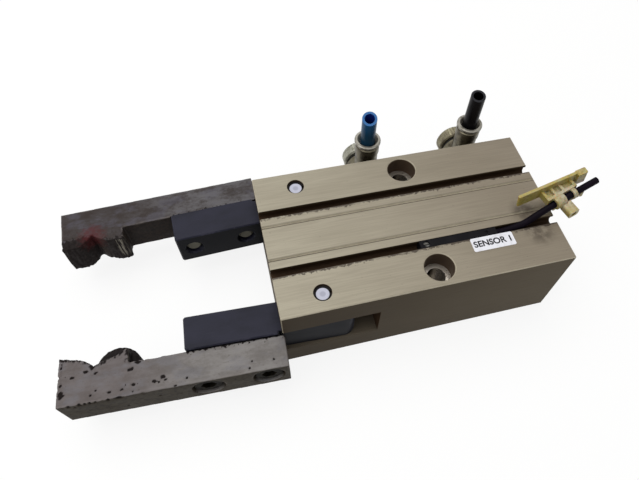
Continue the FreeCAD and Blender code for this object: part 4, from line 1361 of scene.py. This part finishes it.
@dataclass
class SwitchUnit:
    """The magnetic switch with its cut cable, nylon marker and position label."""

    route: tuple[Triple, ...] = (
        (-33.0, 16.0, 44.6),
        (-45.0, 16.0, 44.6),
        (-57.0, 14.0, 54.0),
        (-84.6, 7.3, 60.0),
    )
    cable_width: float = 3.3
    cable_length: float = 55.75
    text: str = "SENSOR 1"
    text_height: float = 4.4
    text_depth: float = 0.02
    stroke_growth: float = 0.13
    filler_radius: float = 0.8
    core_radius: float = 0.32
    core_ring: float = 0.42

    def build(self) -> None:
        """Build the cable and the lettering, and dress the rest."""
        dress_nodes({
            "auto_switch": SWITCH_CASE,
            "switch_screw": SWITCH_SCREW_STEEL,
            "marker_tie": NylonFinish(),
            "position_label": PaperFinish(),
        })
        self.cable()
        self.lettering()

    def cable(self) -> None:
        """Lay the cable along its route."""
        curve = bpy.data.curves.new("switch_lead", "CURVE")
        curve.dimensions = "3D"
        curve.bevel_depth = 1.0
        curve.bevel_resolution = 6
        curve.resolution_u = 24
        curve.use_fill_caps = True
        line = curve.splines.new("NURBS")
        line.points.add(len(self.route) - 1)
        for point, place in zip(line.points, self.route):
            point.co = (place[0] * MM, place[1] * MM, place[2] * MM, 1.0)
            point.radius = self.cable_width / 2 * MM
        line.order_u = 3
        line.use_endpoint_u = True
        piece = fresh_piece("switch_lead", curve, "housing")
        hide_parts("switch_cable")
        dress(piece, CABLE_JACKET)
        self.cut_end()

    def cut_end(self) -> list[bpy.types.Object]:
        """Show the filler and the three wires in the cable's cut end.

        Returns:
            The filler and the wires.
        """
        tip, before = Vector(self.route[-1]) * MM, Vector(self.route[-2]) * MM
        turn = (tip - before).to_track_quat("Z", "Y").to_matrix().to_4x4()
        place = Matrix.Translation(tip) @ turn
        parts = []
        for name, finish, radius, reach, ring, count in (
            ("lead_filler", CABLE_FILLER, self.filler_radius, 0.05, 0.0, 1),
            ("lead_wires", COPPER, self.core_radius, 0.3, self.core_ring, 3),
        ):
            shape = bmesh.new()
            for index in range(count):
                angle = 2 * math.pi * index / count
                spot = Vector((ring * math.cos(angle), ring * math.sin(angle), 0.0)) * MM
                bmesh.ops.create_cone(
                    shape, cap_ends=True, segments=24, radius1=radius * MM, radius2=radius * MM * 0.9,
                    depth=2 * reach * MM, matrix=place @ Matrix.Translation(spot),
                )
            piece = fresh_piece(name, mesh_of(shape, name, smooth=False), "housing")
            parts.append(dress(piece, finish))
        return parts

    def lettering(self) -> None:
        """Print the word on the label."""
        low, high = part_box("position_label")
        font = bpy.data.curves.new("label_word", "FONT")
        font.body = self.text
        font.size = self.text_height * MM
        font.extrude = self.text_depth * MM
        font.offset = self.stroke_growth * MM
        font.align_x = "CENTER"
        font.align_y = "CENTER"
        carrier = put("label_word", font)
        bpy.context.view_layer.update()
        mesh = bpy.data.meshes.new_from_object(carrier)
        bpy.data.objects.remove(carrier)
        turn = Matrix(((-1, 0, 0), (0, -1, 0), (0, 0, 1))).to_4x4()
        middle = (low + high) / 2
        mesh.transform(Matrix.Translation((middle.x, middle.y, high.z + 0.01 * MM)) @ turn)
        dress(fresh_piece("label_word", mesh, "housing"), INK)


@dataclass
class Studio:
    """Camera, lamps, world and floor."""

    place: Triple = (0.07766, 0.13186, 0.24920)
    right: Triple = (-0.96692, 0.25060, 0.04761)
    down: Triple = (0.18963, 0.83101, -0.52294)
    forward: Triple = (-0.17061, -0.49661, -0.85104)
    focal_pixels: float = 526.95
    frame_width: float = 639.0
    centre_pixels: tuple[float, float] = (351.4, 254.4)
    middle_pixels: tuple[float, float] = (319.5, 240.0)
    sensor: float = 36.0
    ambient: float = 0.40
    lamps: tuple[tuple[Triple, float, float], ...] = (
        ((0.22, -0.26, 0.98), 1.10, 7.5),
        ((0.60, 0.20, 0.50), 0.60, 0.8),
    )
    aim: Triple = (0.02, 0.0, 0.02)
    floor_size: float = 3.0
    floor_drop: float = 0.3

    def build(self) -> None:
        """Set the whole studio."""
        self.camera()
        self.lights()
        self.world()
        self.floor()
        bpy.context.scene.view_settings.view_transform = "Standard"

    def camera(self) -> None:
        """Place the camera as the photograph has it."""
        lens = bpy.data.cameras.new("camera")
        lens.sensor_width = self.sensor
        lens.lens = self.focal_pixels / self.frame_width * self.sensor
        lens.shift_x = (self.middle_pixels[0] - self.centre_pixels[0]) / self.frame_width
        lens.shift_y = (self.centre_pixels[1] - self.middle_pixels[1]) / self.frame_width
        lens.clip_start = 0.01
        lens.clip_end = 20.0
        eye = put("camera", lens)
        columns = (Vector(self.right), -Vector(self.down), -Vector(self.forward))
        turn = Matrix(columns).transposed().to_4x4()
        eye.matrix_world = Matrix.Translation(self.place) @ turn
        bpy.context.scene.camera = eye

    def lights(self) -> None:
        """Hang the soft lamps and turn them to the object."""
        for index, (place, size, power) in enumerate(self.lamps):
            lamp = bpy.data.lights.new(f"lamp_{index}", "AREA")
            lamp.shape = "DISK"
            lamp.size = size
            lamp.energy = power
            holder = put(f"lamp_{index}", lamp)
            holder.location = place
            away = Vector(self.aim) - Vector(place)
            holder.rotation_euler = away.to_track_quat("-Z", "Y").to_euler()

    def world(self) -> None:
        """Surround the object with a dim even light that looks white."""
        world = bpy.data.worlds.new("surround")
        world.use_nodes = True
        graph = NodeGraph(world.node_tree)
        background = graph.tree.nodes["Background"]
        graph.link(background.inputs["Color"], (1.0, 1.0, 1.0, 1.0))
        graph.link(background.inputs["Strength"], graph.between(graph.white_rays(), self.ambient, 1.0))
        bpy.context.scene.world = world

    def floor(self) -> None:
        """Lay the floor under the body."""
        shape = bmesh.new()
        bmesh.ops.create_grid(shape, x_segments=4, y_segments=4, size=self.floor_size)
        bmesh.ops.translate(shape, verts=shape.verts, vec=(0.0, 0.0, -self.floor_drop * MM))
        dress(put("floor", mesh_of(shape, "floor")), FloorFinish())


def write_sizes() -> None:
    """Bring the view layer up to date."""
    bpy.context.view_layer.update()


def main() -> None:
    """Build every sub-assembly in order."""
    logging.basicConfig(level=logging.INFO, format="%(name)s %(message)s")
    Studio().build()
    SwitchUnit().build()
    Housing().build()
    PistonUnit().build()
    for side in Side:
        Jaw(side).build()
    for port in Port:
        PortFitting(port).build()
    write_sizes()


if __name__ == "__main__":
    main()
